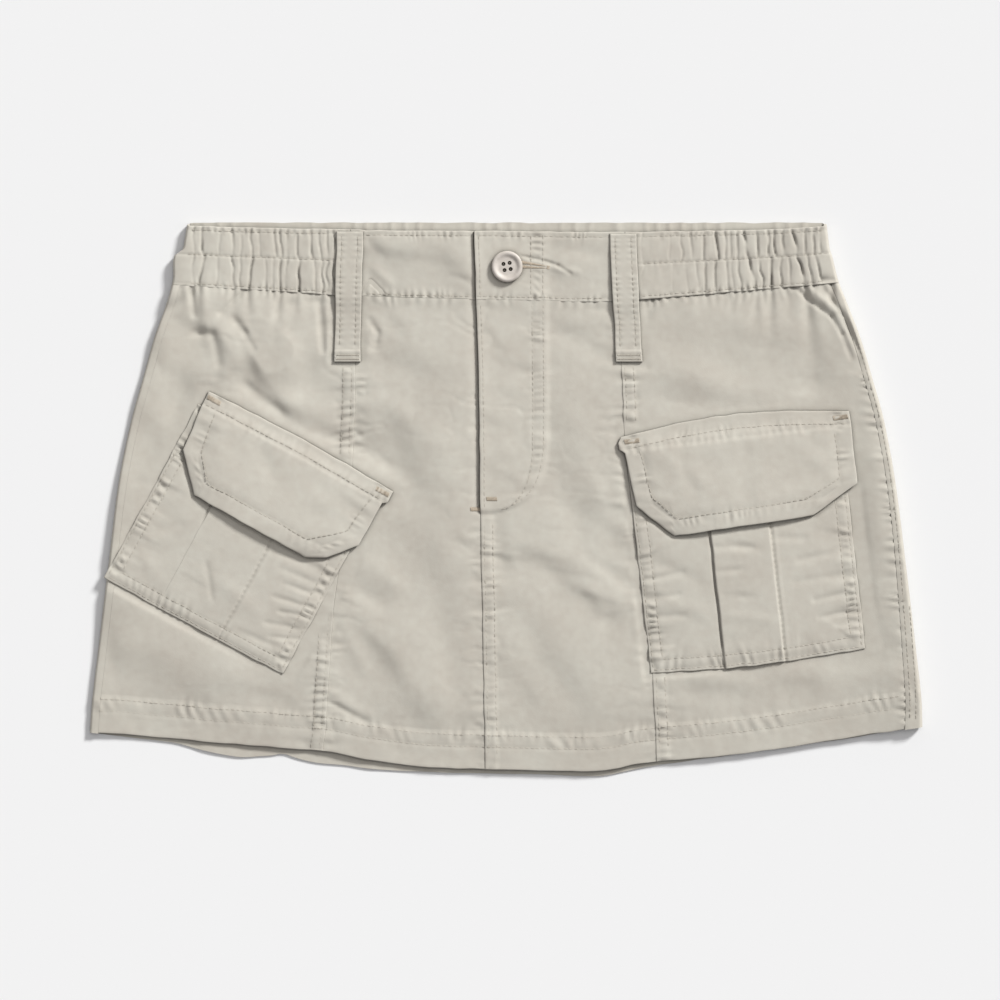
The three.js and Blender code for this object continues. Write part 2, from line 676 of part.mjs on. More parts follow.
// Pocket flap: sewn down along its upper edge, its free edge a little off the bag.
const FLAP_ONSET = 2; // how far above its upper edge the flap's rise over the bag starts
function pocketFlap(pocket) {
  const rows = [0, SEWN_STRIP - 0.01, SEWN_STRIP + 0.04, 0.36, 0.52, 0.68, 0.84, 1];
  const columns = [0, 0.06, 0.2, 0.35, 0.5, 0.65, 0.8, 0.94, 1];
  const place = (row, column) => {
    const depth = mix(pocket.flapLeft.at(-1).v, pocket.flapRight.at(-1).v, column);
    const v = row * depth;
    const left = readStraight(pocket.flapLeft, row * pocket.flapLeft.at(-1).v);
    const right = readStraight(pocket.flapRight, row * pocket.flapRight.at(-1).v);
    const u = mix(left, right, column);
    return { u, v: v - pocket.arch * Math.sin(Math.PI * column) * (1 - row) };
  };
  const under = (u, v) => {
    const overBag = ease((v + FLAP_ONSET) / BAG_TOP);
    const overPleat = CLOTH + BAG_FULL + PLEAT_RISE + GAP;
    const free = FLAP_LIFT * ease(v / pocket.flapDepth);
    return overBag * (overPleat + free);
  };
  const at = (row, column, height) => {
    const { u, v } = place(row, column);
    const { x, y } = fromPocket(pocket, u, v);
    return [x, y, bagUnder(x, y) + under(u, v) + height];
  };
  const outerAt = (row, column) => at(row, column, CLOTH + (row > SEWN_STRIP ? FLAP_FULL : 0));
  const innerAt = (row, column) => at(row, column, 0);
  return wall(`pocket_${pocket.side}_flap`, rows, columns, outerAt, innerAt);
}

// Four-hole button: a turned disc with a raised rim, and its holes cut through.
function solidOf(geometry) {
  geometry.deleteAttribute("normal");
  geometry.deleteAttribute("uv");
  const merged = mergeVertices(geometry, 1e-4);
  return new wasm.Manifold(
    new wasm.Mesh({
      numProp: 3,
      vertProperties: new Float32Array(merged.attributes.position.array),
      triVerts: new Uint32Array(merged.index.array),
    }),
  );
}

const BUTTON = { x: 0.6, y: 131.1, holeRadius: 1.0, holeOut: 2.4, turn: 0.19 };
const BUTTON_SIDES = 28;
const HOLE_SIDES = 10;
const HOLE_LENGTH = 10;
const BUTTON_PROFILE = [
  { r: 0, z: 0 },
  { r: 6.6, z: 0 },
  { r: 8.2, z: 0.7 },
  { r: 8.8, z: 1.6 },
  { r: 8.3, z: 2.5 },
  { r: 7.2, z: 2.9 },
  { r: 6.0, z: 2.4 },
  { r: 5.2, z: 1.7 },
  { r: 0, z: 1.6 },
];

function button() {
  const turned = new THREE.LatheGeometry(
    BUTTON_PROFILE.map((point) => new THREE.Vector2(point.r, point.z)),
    BUTTON_SIDES,
  );
  turned.rotateX(Math.PI / 2);
  let disc = solidOf(turned);
  const { x, y, holeRadius, holeOut } = BUTTON;
  for (const quarter of [0, 1, 2, 3]) {
    const angle = Math.PI * (0.25 + quarter / 2) + BUTTON.turn;
    const hole = new THREE.CylinderGeometry(holeRadius, holeRadius, HOLE_LENGTH, HOLE_SIDES);
    hole.rotateX(Math.PI / 2);
    hole.translate(holeOut * Math.cos(angle), holeOut * Math.sin(angle), 0);
    disc = disc.subtract(solidOf(hole));
  }
  const { vertProperties, triVerts } = disc.getMesh();
  const geometry = new THREE.BufferGeometry();
  geometry.setAttribute("position", new THREE.BufferAttribute(new Float32Array(vertProperties), 3));
  geometry.setIndex([...triVerts]);
  geometry.computeVertexNormals();
  const plastic = new THREE.MeshStandardMaterial({
    color: BUTTON_COLOUR,
    roughness: 0.35,
    metalness: 0,
  });
  const mesh = new THREE.Mesh(geometry, plastic);
  mesh.name = "button";
  mesh.position.set(x, y, bandSmooth(x, y) + SKIN + FLY_RISE + GAP);
  return mesh;
}

const group = new THREE.Group();
const princessLeft = (y) => seam("princessLeft", y);
const princessRight = (y) => seam("princessRight", y);
const centre = (y) => seam("centre", y);
const evenColumns = (count) => steps(count).map((share) => ({ share, deep: 0 }));
const leftColumns = gatheredColumns("left", sideSeam.left, princessLeft);
const rightColumns = gatheredColumns("right", princessRight, sideSeam.right);
group.add(
  backPanel(),
  frontPanel("front_side_left", sideSeam.left, princessLeft, leftColumns),
  frontPanel("front_centre_left", princessLeft, centre, evenColumns(8)),
  frontPanel("front_centre_right", centre, princessRight, evenColumns(11)),
  frontPanel("front_side_right", princessRight, sideSeam.right, rightColumns),
  elasticBand(),
  flatBand("waistband_front_left", () => BAND_JOINTS.left, centre, steps(4)),
  flatBand("waistband_front_right", centre, () => BAND_JOINTS.right, steps(9)),
  ...LOOPS.map(beltLoop),
  ...POCKETS.map(pocketBag),
  ...POCKETS.map(pocketFlap),
  button(),
);

export default group;
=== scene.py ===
import math

import bmesh
import bpy
import numpy as np
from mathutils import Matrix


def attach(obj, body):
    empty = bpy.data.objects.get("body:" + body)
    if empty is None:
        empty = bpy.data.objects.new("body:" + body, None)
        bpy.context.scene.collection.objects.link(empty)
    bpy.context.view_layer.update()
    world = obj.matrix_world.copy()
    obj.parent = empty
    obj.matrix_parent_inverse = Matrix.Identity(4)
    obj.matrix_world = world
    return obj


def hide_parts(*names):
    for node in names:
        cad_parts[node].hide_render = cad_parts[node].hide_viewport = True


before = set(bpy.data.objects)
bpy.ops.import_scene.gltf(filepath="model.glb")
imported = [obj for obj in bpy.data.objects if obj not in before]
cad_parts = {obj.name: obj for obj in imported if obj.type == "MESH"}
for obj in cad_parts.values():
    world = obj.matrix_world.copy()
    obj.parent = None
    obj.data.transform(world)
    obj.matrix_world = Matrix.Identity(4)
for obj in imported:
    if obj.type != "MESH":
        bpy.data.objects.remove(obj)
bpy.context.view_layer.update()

rng = np.random.default_rng(7)

# Cargo utility skirt, laid flat with its front up. Sizes are millimetres until a mesh is made.
MM = 0.001

# Driving sizes
CLOTH = 0.9          # wall of a panel
BAND = 1.5           # wall of the doubled waistband
LAYER = 4.0          # top of the front cloth above the surface
BAND_TOP = 4.9
SKIN = 0.4           # what gathers and stitching sink into
LOWEST = 0.02        # underside of the back above the surface
FRONT_LOWEST = 1.15  # inside of the front panels above the surface
SEAM_GAP = 0.03      # from a seam line to a panel's edge
EDGE_ROUND = 0.5     # radius of a turned edge
UNDER_BAND = 0.4     # how far the panels reach past the waist seam
SIDE_RISE = 2.0
SIDE_REACH = 24.0
FOLD_DEPTH = 2.2     # half a thickness of the fold at the right side
FOLD_LEFT = 1.7
PANEL_TALL = 268.0
BACK_TALL = 270.0
BACK_WIDE = 440.0
BAND_TALL = 38.0
HEM_DEPTH = 21.0
HEM_DROP = 1.0
HEM_ROWS = (19.3, 12.6)
FLY_RISE = 0.9
FLY_FOOT = -9.0
LOOP_WIDTH = 15.0
LOOP_TALL = 74.0
BACK_TOP = 156.2

# Fineness of the meshes
PANEL_STEP = 1.22
BAND_STEP = 0.65
POCKET_STEP = 1.0
BACK_STEP = 3.3
BACK_ROW_STEP = 2.2
BACK_BAND_STEP = 1.6
TURNS = 13           # columns round a side fold

# Outline: left and right edge at a height, from the hem to the waist.
OUTLINE = np.array([
    # y, left, right
    (-132, -235.4, 235.4), (-113.5, -234, 234.8), (-80, -230, 231.1), (-34, -224.4, 225.6),
    (11, -218.8, 219.8), (44.5, -211.9, 213.6), (67, -205.6, 207.4), (90, -199.2, 200.6),
    (112, -191.4, 192.2), (124, -188.3, 187.6), (137, -187.6, 184.4), (141, -183, 183),
    (146, -181.8, 182.3), (156.5, -180, 181),
])
# Edges that run across, at a place along X.
ACROSS = np.array([
    # x, waist seam, front hem, back hem, front waistband's top
    (-236, 121, -131.6, -131.9, 155), (-188, 120.4, -135.4, -138, 154.6),
    (-160, 119, -138.2, -144.5, 153.8), (-128, 117.2, -140.7, -145.6, 153),
    (-100, 115.3, -143, -149.4, 152.6), (-76, 114, -147.8, -152.8, 151.8),
    (-45, 113.1, -151.6, -154.4, 151.4), (-12, 112.3, -152.8, -155.2, 151.3),
    (20, 111.8, -153.6, -155.9, 151), (53, 111.2, -153.4, -156.5, 150.8),
    (80, 113, -149.2, -151.4, 151), (122, 116.4, -145.4, -145.6, 151.6),
    (168, 120.3, -139, -139.3, 153), (190, 122.2, -135.4, -135.8, 154.6),
    (236, 122.6, -128.4, -128.8, 155.2),
])
# Seams that run down the front, at a height.
SEAMS = np.array([
    # y, left princess seam, centre front, right princess seam
    (-157, -104.6, -11.8, 85.6), (-120, -101.2, -12.4, 83.8), (-97, -99.8, -12.9, 82.4),
    (-50, -96, -13.8, 77.2), (-16, -89.6, -14.4, 73.4), (26, -86.4, -14.9, 67.6), (77, -85, -15.6, 65),
    (112, -88, -17, 62.4), (152, -88, -18.1, 66),
])
# How far the side seams lie in from the edge, at a height.
SIDE_SEAMS = np.array([
    # y, left, right
    (-132, 5, 10.2), (-76, 5, 7.6), (-25, 5, 5.6), (34, 5, 5), (157, 5, 5),
])
# The J of stitching that holds the fly down: its outer edge at a height.
FLY_EDGE = np.array([
    # y, right
    (-8, -8), (-5, 2.5), (0, 11.5), (7, 17.6), (16, 21.2), (29, 23.2), (112, 23),
])


def curve(table, column, at):
    """A column of a table at a place, on a smooth curve through its rows."""
    key, value = table[:, 0], table[:, column]
    slope = np.gradient(value, key)
    slope[1:-1] = (value[2:] - value[:-2]) / (key[2:] - key[:-2])
    at = np.clip(at, key[0], key[-1])
    i = np.clip(np.searchsorted(key, at, side="right") - 1, 0, len(key) - 2)
    width = key[i + 1] - key[i]
    t = (at - key[i]) / width
    return ((2 * t**3 - 3 * t**2 + 1) * value[i] + (t**3 - 2 * t**2 + t) * width * slope[i]
            + (3 * t**2 - 2 * t**3) * value[i + 1] + (t**3 - t**2) * width * slope[i + 1])


def ease(t):
    t = np.clip(t, 0, 1)
    return t * t * (3 - 2 * t)


def mix(a, b, t):
    return a + (b - a) * t


def bump(d):
    return np.exp(-d * d)


def inward(share, length):
    """Distance from the nearer end of a length, at a share of it."""
    return np.minimum(share, 1 - share) * length


class Noise:
    """Smooth seeded noise on the plane, -1 to 1, from a grid of random values."""

    def __init__(self, seed):
        self.grid = np.random.default_rng(seed).uniform(-1, 1, (64, 64))

    def __call__(self, x, y):
        x, y = np.broadcast_arrays(np.asarray(x, float), np.asarray(y, float))
        i, j = np.floor(x).astype(int), np.floor(y).astype(int)
        u, v = x - i, y - j
        u, v = u * u * (3 - 2 * u), v * v * (3 - 2 * v)
        g = lambda a, b: self.grid[a % 64, b % 64]
        low = mix(g(i, j), g(i + 1, j), u)
        high = mix(g(i, j + 1), g(i + 1, j + 1), u)
        return mix(low, high, v)


broad, middling, fine, ripple = (Noise(seed) for seed in (11, 12, 13, 14))


def wobbly(table, column, wobble, wave, row):
    """An edge or a seam: the smooth curve through a table's column, with a small wobble."""
    return lambda at: curve(table, column, at) + wobble * ripple(at / wave, row)


waist = wobbly(ACROSS, 1, 0.22, 5.5, 20.5)
hem = wobbly(ACROSS, 2, 0.35, 9, 21.5)
back_hem_line = wobbly(ACROSS, 3, 0.3, 11, 22.5)
band_edge = wobbly(ACROSS, 4, 0.3, 6, 23.5)
princess_left = wobbly(SEAMS, 1, 0.35, 6, 24.5)
centre = wobbly(SEAMS, 2, 0.3, 8, 25.5)
princess_right = wobbly(SEAMS, 3, 0.35, 6, 26.5)


def edge_left(y):
    return curve(OUTLINE, 1, y)


def edge_right(y):
    return curve(OUTLINE, 2, y)


def back_hem(x):
    drop = 0.9 * bump((x + 150) / 8) + 0.9 * bump((x + 108) / 9) - 1.6 * bump((x + 126) / 5)
    return back_hem_line(x) - drop


def side_left(y):
    return edge_left(y) + curve(SIDE_SEAMS, 1, y)


def side_right(y):
    return edge_right(y) - curve(SIDE_SEAMS, 2, y)


# Soft folds of the front: a line, half a width and a height.
FOLDS = [
    # x0, y0, x1, y1, half, rise
    # left hip, under the gathers
    (-153.5, 102, -147, 94, 2, -0.9), (-147, 94, -142, 84, 2.4, -1.1), (-77, 101, -72.5, 94, 1.5, -1),
    (-72.5, 94, -74, 86, 1.8, -0.8), (-162, 99, -150, 80, 6, 1.1), (-132, 94, -122, 72, 8, 1.2),
    (-176, 94, -166, 93, 2.4, -1), (-166, 93, -162, 76, 2.8, -1), (-180, 104, -170, 98, 5, 0.8),
    (-105, 112, -103, 84, 1.7, -1.4), (-99, 108, -97, 84, 3, 0.7), (-194, 104, -178, 117, 3.4, -1.1),
    (-177.5, 118, -176, 104, 1.6, -1), (-149, 117, -161, 105, 1.7, -0.9),
    (-121, 111, -128, 105, 2.4, -0.8), (-112, 112, -100, 110, 2, -0.4), (-186, 84, -172, 50, 10, -0.7),
    (-196, 60, -190, 20, 9, 0.6),
    # right hip
    (163, 120, 173, 111, 1.2, -1), (173, 111, 184, 103, 1.2, -1), (184, 103, 190, 93, 1.2, -0.9),
    (190, 93, 195, 80, 1.4, -0.8), (171, 119, 186, 106, 1.8, 0.9), (180, 118, 190, 104, 1.2, -1),
    (190, 104, 199, 84, 1.4, -0.9), (192, 108, 203, 80, 1.5, 0.6), (84, 112, 74, 98, 3, -0.8),
    (92, 113, 78, 104, 2.2, 0.5), (100, 90, 172, 76, 14, -0.6), (110, 104, 176, 92, 12, 0.5),
    (92, 70, 150, 58, 9, 0.6), (176, 70, 160, 54, 7, -0.6), (205, 40, 212, -20, 6, 0.5),
    (196, -30, 206, -90, 8, -0.5),
    # left centre panel
    (-70, 106, -60, 96, 4, -0.4), (-72, 80, -40, 66, 9, -0.7), (-78, 60, -50, 40, 8, 0.6),
    (-80, 28, -60, 4, 9, -0.6), (-40, 40, -30, 0, 10, 0.6), (-84, -30, -62, -50, 6, 0.6),
    (-88, -46, -70, -60, 5, -0.8), (-92, -70, -80, -96, 5, 0.6), (-40, -60, -26, -122, 9, -0.6),
    (-101, -114, -80, -125, 1.5, -0.7), (-98, -111, -78, -121, 3, 0.4),
    # right centre panel
    (30, 96, 56, 84, 6, -0.6), (34, 60, 56, 10, 11, 0.7), (26, 20, 44, -24, 9, -0.7),
    (50, 30, 64, -6, 6, -0.4), (46, -34, 76, -52, 4, -0.5), (4, -84, 30, -126, 9, 0.4),
    (-6, -10, -2, -40, 5, -0.5),
    # below the left pocket
    (-210, -84, -150, -112, 12, 0.8), (-190, -60, -130, -100, 12, -0.8),
    (-226, -60, -222, -100, 6, -0.5), (-160, -108, -120, -116, 6, -0.5),
    # below the right pocket
    (100, -102, 150, -108, 6, 0.7), (104, -110, 170, -108, 6, -0.6), (160, -100, 214, -96, 8, 0.5),
]


def lines_apart(x, y, x0, y0, x1, y1):
    """Distance from a stretch, and how far along it the nearest point is, 0 to 1."""
    dx, dy = x1 - x0, y1 - y0
    t = np.clip(((x - x0) * dx + (y - y0) * dy) / (dx * dx + dy * dy), 0, 1)
    return np.hypot(x - x0 - dx * t, y - y0 - dy * t), t


def creased(x, y, table):
    """Sum of the soft folds of a table, each a little bent and uneven along its length."""
    rise = np.zeros(np.broadcast(x, y).shape)
    bend_x = 1.6 * middling(x / 17, y / 17)
    bend_y = 1.6 * middling(x / 17 + 31, y / 17 + 9)
    for n, (x0, y0, x1, y1, half, height) in enumerate(table):
        bent = min(1, half / 6)
        away, t = lines_apart(x + bent * bend_x, y + bent * bend_y, x0, y0, x1, y1)
        swell = 0.72 + 0.4 * np.sin(np.pi * t) + 0.16 * np.sin(7 * t + n)
        rise += height * swell * bump(away / half)
    return rise


# Slopes that face away from the light, where the cloth steps down: a line, half a width and how far
# it drops. The side towards the upper right is the high one.
SLOPES = [
    # x0, y0, x1, y1, half, drop
    # left hip
    (-150, 98, -140, 74, 4, 2.9), (-140, 74, -128, 52, 4.4, 2.9), (-128, 52, -86, 31, 4.4, 2.4),
    (-168, 92, -150, 70, 7, 2), (-174, 104, -163, 74, 3.4, 2), (-208, 86, -178, 58, 11, 4),
    (-192, 80, -172, 62, 5, 1.6), (-214, 60, -200, 36, 6, 1.4), (-198, 111, -140, 106, 4.6, 1.6),
    (-98, 74, -78, 38, 7, 2.8), (-64, 64, -50, 8, 8, 2.6), (-56, 78, -26, 34, 12, 1.9),
    (-72, -8, -44, -30, 7, 1.2), (-120, 96, -108, 70, 6, 0.9), (-76, 108, -60, 92, 5, 0.7),
    (-84, 29, -71, 23, 1.8, 0.8), (-143, 64, -127, 49, 1.8, 1.5), (-114, 41, -88, 26, 1.8, 1.5),
    # below the left pocket
    (-226, -70, -150, -112, 18, 3.2), (-232, -40, -226, -80, 8, 1), (-150, -104, -104, -112, 8, 1),
    (-94, -56, -67, -92, 5, 1.6), (-67, -92, -48, -122, 6, 1.8), (-48, -122, -20, -134, 6, 1),
    (-100, -78, -84, -86, 4, 0.5), (-42, -18, -24, -82, 9, 0.9), (-26, -22, -16, -28, 2, 0.6),
    (-36, -44, -14, -46, 3, 0.5),
    # centre
    (-12, -27, 0, -34, 2, 0.7), (1, -26, 40, -39, 4.6, 1.9), (45, -54, 57, -58, 2, 1.1),
    (57, -66, 76, -62, 2, 0.9), (54, -3, 66, -5, 1.6, 0.8), (-11, -31, 9, -34, 1.5, 0.8),
    (26, -40, 50, -44, 1.8, 0.7), (48, -8, 66, -20, 3, 1), (6, -62, 44, -112, 7, 1.9),
    (36, -50, 70, -72, 4, 1.3), (-4, -92, 14, -110, 4, 0.7), (28, 10, 58, -8, 6, 0.8),
    (36, 66, 60, 30, 9, 0.8), (26, 94, 58, 100, 2.4, 0.5), (-12, 96, -3, 87, 2.6, 0.5),
    (1, 77, 18, 72, 2.2, 0.6), (-4, 60, 15, 56, 2.4, 0.6), (-12, 46, 8, 38, 2.6, 0.7),
    (2, 24, 22, 28, 2.6, 0.6), (-8, 18, 6, 10, 2.4, 0.5), (24, 52, 32, 20, 5, 0.7),
    # right hip and side
    (166, 117, 182, 103, 2.2, 0.5), (182, 103, 192, 84, 2.4, 0.5), (78, 66, 118, 56, 7, 1.9),
    (88, 100, 128, 86, 8, 0.5), (132, 78, 176, 66, 8, 0.7), (74, 46, 96, 50, 2, 0.7),
    (196, 4, 214, -108, 12, 1.6), (90, -112, 170, -112, 9, 1), (-60, -124, 80, -124, 8, 1.1),
]


def sloped(x, y, table):
    """Sum of the slopes of a table. Away from its line each one dies out slowly, on both sides."""
    rise = np.zeros(np.broadcast(x, y).shape)
    bend_x = 2.2 * middling(x / 23 + 7, y / 23)
    bend_y = 2.2 * middling(x / 23 + 41, y / 23 + 19)
    for n, (x0, y0, x1, y1, half, drop) in enumerate(table):
        bent = min(1, half / 6)
        px, py = x + bent * bend_x, y + bent * bend_y
        long = math.hypot(x1 - x0, y1 - y0)
        ax, ay = (x1 - x0) / long, (y1 - y0) / long
        nx, ny = (-ay, ax) if -ay + ax > 0 else (ay, -ax)
        along = ((px - x0) * ax + (py - y0) * ay) / long
        across = (px - x0) * nx + (py - y0) * ny
        past = np.maximum(0, np.abs(along - 0.5) - 0.5) * long
        swell = (0.8 + 0.3 * np.sin(5 * along + 1.7 * n)) * bump(past / (1.6 * half + 3))
        rise += 0.5 * drop * swell * np.tanh(across / half) * bump(across / (6 * half))
    return rise


# Cargo pockets: the flap's upper corner, its turn, and sizes in its own frame, u along the flap's
# upper edge and v down from it.
POCKETS = {
    "left": dict(
        side="left", seed=9, x=-168.4, y=61.0, turn=-28.5, width=119.4, arch=1.5,
        flap_left=[(0.4, 0), (3.8, 36), (21.5, 55.4)],
        flap_right=[(119.4, 0), (119.4, 7.2), (116.6, 8.8), (116.4, 36), (104.0, 51), (93.0, 56.2)],
        bag=(-1.2, 113.6), foot=120.5, sag=0.6, pleat=(33.0, 71.5), pleat_rise=0.25, edge=0.5,
    ),
    "right": dict(
        side="right", seed=10, x=65.0, y=35.0, turn=6.5, width=129.6, arch=5.5,
        flap_left=[(0.0, 0), (-2.2, 3.5), (-2.0, 7.4), (0.8, 9.2), (4.0, 40), (23.5, 59.0)],
        flap_right=[(129.6, 0), (129.4, 41), (103.0, 56.4)],
        bag=(1.6, 123.6), foot=134.4, sag=2.4, pleat=(44.0, 77.5), pleat_rise=1.0, edge=0.7,
    ),
}
BAG_TOP = 9.0
BAG_FULL = 1.0
FLAP_LIFT = 2.2
POCKET_ROWS = (1.8, 7.6)   # rows of stitching in from a bag's edge
FLAP_ROW = 9.5             # stitching in from a flap's free edge
FLAP_SEWN = 7.4            # stitching down from a flap's upper edge

LOOPS = {
    "left": dict(top=(-88.1, 151.0), foot=(-89.8, 77.4)),
    "right": dict(top=(66.0, 149.8), foot=(69.5, 77.4)),
}


def to_pocket(pocket, x, y):
    a = math.radians(pocket["turn"])
    dx, dy = x - pocket["x"], y - pocket["y"]
    return dx * math.cos(a) + dy * math.sin(a), dx * math.sin(a) - dy * math.cos(a)


def from_pocket(pocket, u, v):
    a, x, y = math.radians(pocket["turn"]), pocket["x"], pocket["y"]
    u, v = u + 0.3 * ripple(u / 9, v / 7 + x), v + 0.3 * ripple(u / 7 + 4.4, v / 9 + x)
    return x + u * math.cos(a) + v * math.sin(a), y + u * math.sin(a) - v * math.cos(a)


def open_cloth(x, y, reach=3.2):
    """1 on open cloth and 0 under a pocket or a belt loop, with a change that is reach wide."""
    clear = np.ones(np.broadcast(x, y).shape)
    for pocket in POCKETS.values():
        u, v = to_pocket(pocket, x, y)
        outside = np.maximum(np.maximum(-u, u - pocket["width"]) - 1,
                             np.maximum(-v - pocket["arch"] - 1, v - pocket["foot"] - 2))
        clear = np.minimum(clear, ease(outside / reach))
    for loop in LOOPS.values():
        (x0, y0), (x1, y1) = loop["top"], loop["foot"]
        t = np.clip((y0 - y) / (y0 - y1), 0, 1)
        outside = np.maximum(np.abs(x - mix(x0, x1, t)) - LOOP_WIDTH / 2 - 1, y1 - y - 2)
        clear = np.minimum(clear, ease(outside / (reach + 0.8)))
    return clear


def side_rise(x, y):
    from_left = np.maximum(0, x - edge_left(y))
    from_right = np.maximum(0, edge_right(y) - x)
    return SIDE_RISE * (0.45 * bump(from_left / SIDE_REACH) + bump(from_right / SIDE_REACH))


def cloth_smooth(x, y):
    """The front cloth without its small relief, where pieces are laid on it."""
    return LAYER + side_rise(x, y)


def puckers(along, away, half, height, pitch, seed):
    """Ripples that run across a stitched line, lean a little and die out away from it. They come in
    groups with quiet stretches between."""
    along = along + 0.3 * away * ripple(along / 19 + seed, 6.3 * seed)
    phase = along / pitch + 0.9 * ripple(along / (2.3 * pitch), seed * 3.1)
    wave = np.sin(2 * np.pi * phase)
    sharp = np.sign(wave) * np.abs(wave) ** 0.8
    uneven = np.clip(0.7 + 1.3 * ripple(along / 8.3 + seed, seed * 1.7), 0.1, 1.8)
    reach = half * (0.8 + 0.6 * ripple(along / 6 + 5 * seed, 2.2))
    long_reach = half * (2.0 + 1.6 * ripple(along / 9 + 3 * seed, 7.7))
    slow = np.clip(ripple(along / (1.1 * pitch), 5.1 * seed) * 2, -1, 0.4)
    return (1.7 * height * uneven * sharp * bump(away / np.maximum(reach, 0.5))
            + 1.5 * height * slow * bump(away / np.maximum(long_reach, 2.0)))


def fly_rise(x, y):
    over = x - centre(y)
    high = ease((y - FLY_FOOT) / 3)
    inside = ease((curve(FLY_EDGE, 1, y) - x) / 4.5 + 0.5) * high * (over > 0)
    return FLY_RISE * inside + high * np.where(over > 0, 0.5 * bump(over / 4), -0.8 * bump(over / 3.5))


def hem_rise(x, y):
    return 0.6 * ease((HEM_DEPTH - y + hem(x)) / 1.2)


def seam_relief(x, y):
    """Grooves, welts and puckers along the front's seams, hem and waist."""
    z = np.zeros(np.broadcast(x, y).shape)
    # princess seams and the centre front, each with its double stitching on one side
    for place, toward, strong, seed in ((princess_left, -1, 1.0, 1), (princess_right, 1, 0.85, 2),
                                        (centre, 1, 0.7, 3)):
        across = (x - place(y)) * toward
        live = ease((118 - y) / 6) if place is not centre else ease((-8 - y) / 5)
        z += live * 0.45 * ease((across + 0.4) / 0.8) * ease((8.2 - across) / 1.6)
        z -= live * (0.2 * bump((across - 2.2) / 0.7) + 0.18 * bump((across - 7.0) / 0.8))
        z += live * strong * (puckers(y, across - 4.4, 4.6, 0.34, 4.7, seed)
                              + puckers(y + 40, across + 3, 4.5, 0.16, 6.1, seed + 0.5))
    # right side seam, with the back's edge lying a little higher
    across = side_right(y) - x
    z += puckers(y, across, 4.6, 0.24, 5.2, 4) * ease((84 - y) / 10) - 0.12 * bump(across / 0.8)
    # hem: two rows of stitching, and the twisting puckers between them
    up = y - hem(x)
    z -= 0.2 * sum(bump((up - row) / 0.8) for row in HEM_ROWS)
    rope = np.sin(2 * np.pi * (x / 7.3 + up / 15 + 1.3 * ripple(x / 17, 4.4)))
    z += 0.27 * rope * bump((up - 16) / 4.2) * np.clip(0.5 + 1.3 * ripple(x / 15, 8.1), 0, 1.3)
    z += puckers(x, up - HEM_ROWS[0], 3.4, 0.12, 5.2, 21)
    z += 0.12 * fine(x / 5.5, up / 7) * ease((HEM_DEPTH - up) / 3)
    # drawn in a little under the waistband
    below = waist(x) - y
    between = ease((x + 96) / 6) * ease((76 - x) / 6)
    z += mix(-0.35, 0.45, between) * bump(below / mix(1.2, 4.0, between))
    z += between * puckers(x, below, 3.0, 0.16, 6.0, 17)
    z += (1 - between) * puckers(x, below, 5.0, 0.22, 5.6, 16)
    # the fly's two rows of stitching, with small puckers
    inside = x - curve(FLY_EDGE, 1, y)
    on_fly = ease((y + 6) / 4) * ease((centre(y) + 60 - x) / 4)
    z += on_fly * puckers(y, inside + 5.0, 3.6, 0.2, 4.4, 6)
    return z - on_fly * 0.18 * (bump((inside + 2.0) / 0.7) + bump((inside + 8.2) / 0.7))


# Gathers, from the belt loop outwards: the place of each trough at the upper edge, at the middle
# stitching above it, below it and at the foot, and how deep it is above and below.
GATHERS = {
    "left": [
        # top, over, under, foot, deep above, deep below
        (-96.9, -96.7, -97, -97.4, 0.8, 0.9), (-101, -101, -101.2, -101, 0.9, 0.9),
        (-105.6, -105, -104.2, -103.8, 0.5, 0.7), (-110.4, -110, -108.6, -107.6, 0.7, 0.5),
        (-117.4, -117.8, -115.9, -117.9, 0.6, 1.1), (-123.7, -123.7, -124.3, -124.3, 0.5, 0.5),
        (-127.6, -127.4, -127.9, -127.7, 1, 1.1), (-130.2, -130, -131.4, -131.6, 0.7, 0.4),
        (-139.5, -139.7, -136.8, -136.4, 0.4, 0.4), (-144, -144, -143.4, -145.8, 0.6, 1.1),
        (-149, -149.4, -149.8, -150, 0.3, 0.4), (-154.2, -154.4, -154.2, -154, 0.7, 0.7),
        (-162, -162.4, -163, -163.6, 0.3, 0.3), (-171.6, -171.8, -171, -173.8, 1.1, 1.2),
        (-176, -176, -176.6, -176.2, 0.8, 0.6),
    ],
    "right": [
        (77, 77.2, 77.4, 77.6, 0.5, 0.2), (92, 92.4, 94, 95, 0.25, 0.15),
        (98.6, 99.4, 101.4, 103, 0.5, 0.2), (104.2, 105, 107.6, 108.6, 0.5, 0.3),
        (111.2, 112, 112.4, 113.2, 0.6, 0.7), (117.4, 120, 118, 118.6, 1.2, 0.8),
        (123, 123.6, 124.6, 125.8, 0.7, 0.6), (126.8, 127.2, 128.2, 129.4, 0.7, 0.4),
        (130.2, 130.6, 131.6, 132.4, 0.8, 0.7), (133.4, 137.2, 137.4, 141.4, 1.4, 1.3),
        (141.6, 142.2, 143.8, 145, 0.8, 0.7), (148, 148, 149.7, 149.8, 0.7, 1.3),
        (151.4, 151.8, 155, 155.6, 0.9, 0.7), (156.4, 156.8, 160, 160.8, 1, 0.7),
        (161, 164.6, 165, 169.2, 1.3, 1.5), (168, 168.8, 169.8, 173.4, 0.8, 0.7),
        (172.6, 174, 174.8, 178.6, 1.1, 1.3), (176.6, 178.4, 179.8, 184, 0.8, 1),
    ],
}
STITCH_ROW = 0.47    # share of the waistband's height where its middle stitching runs


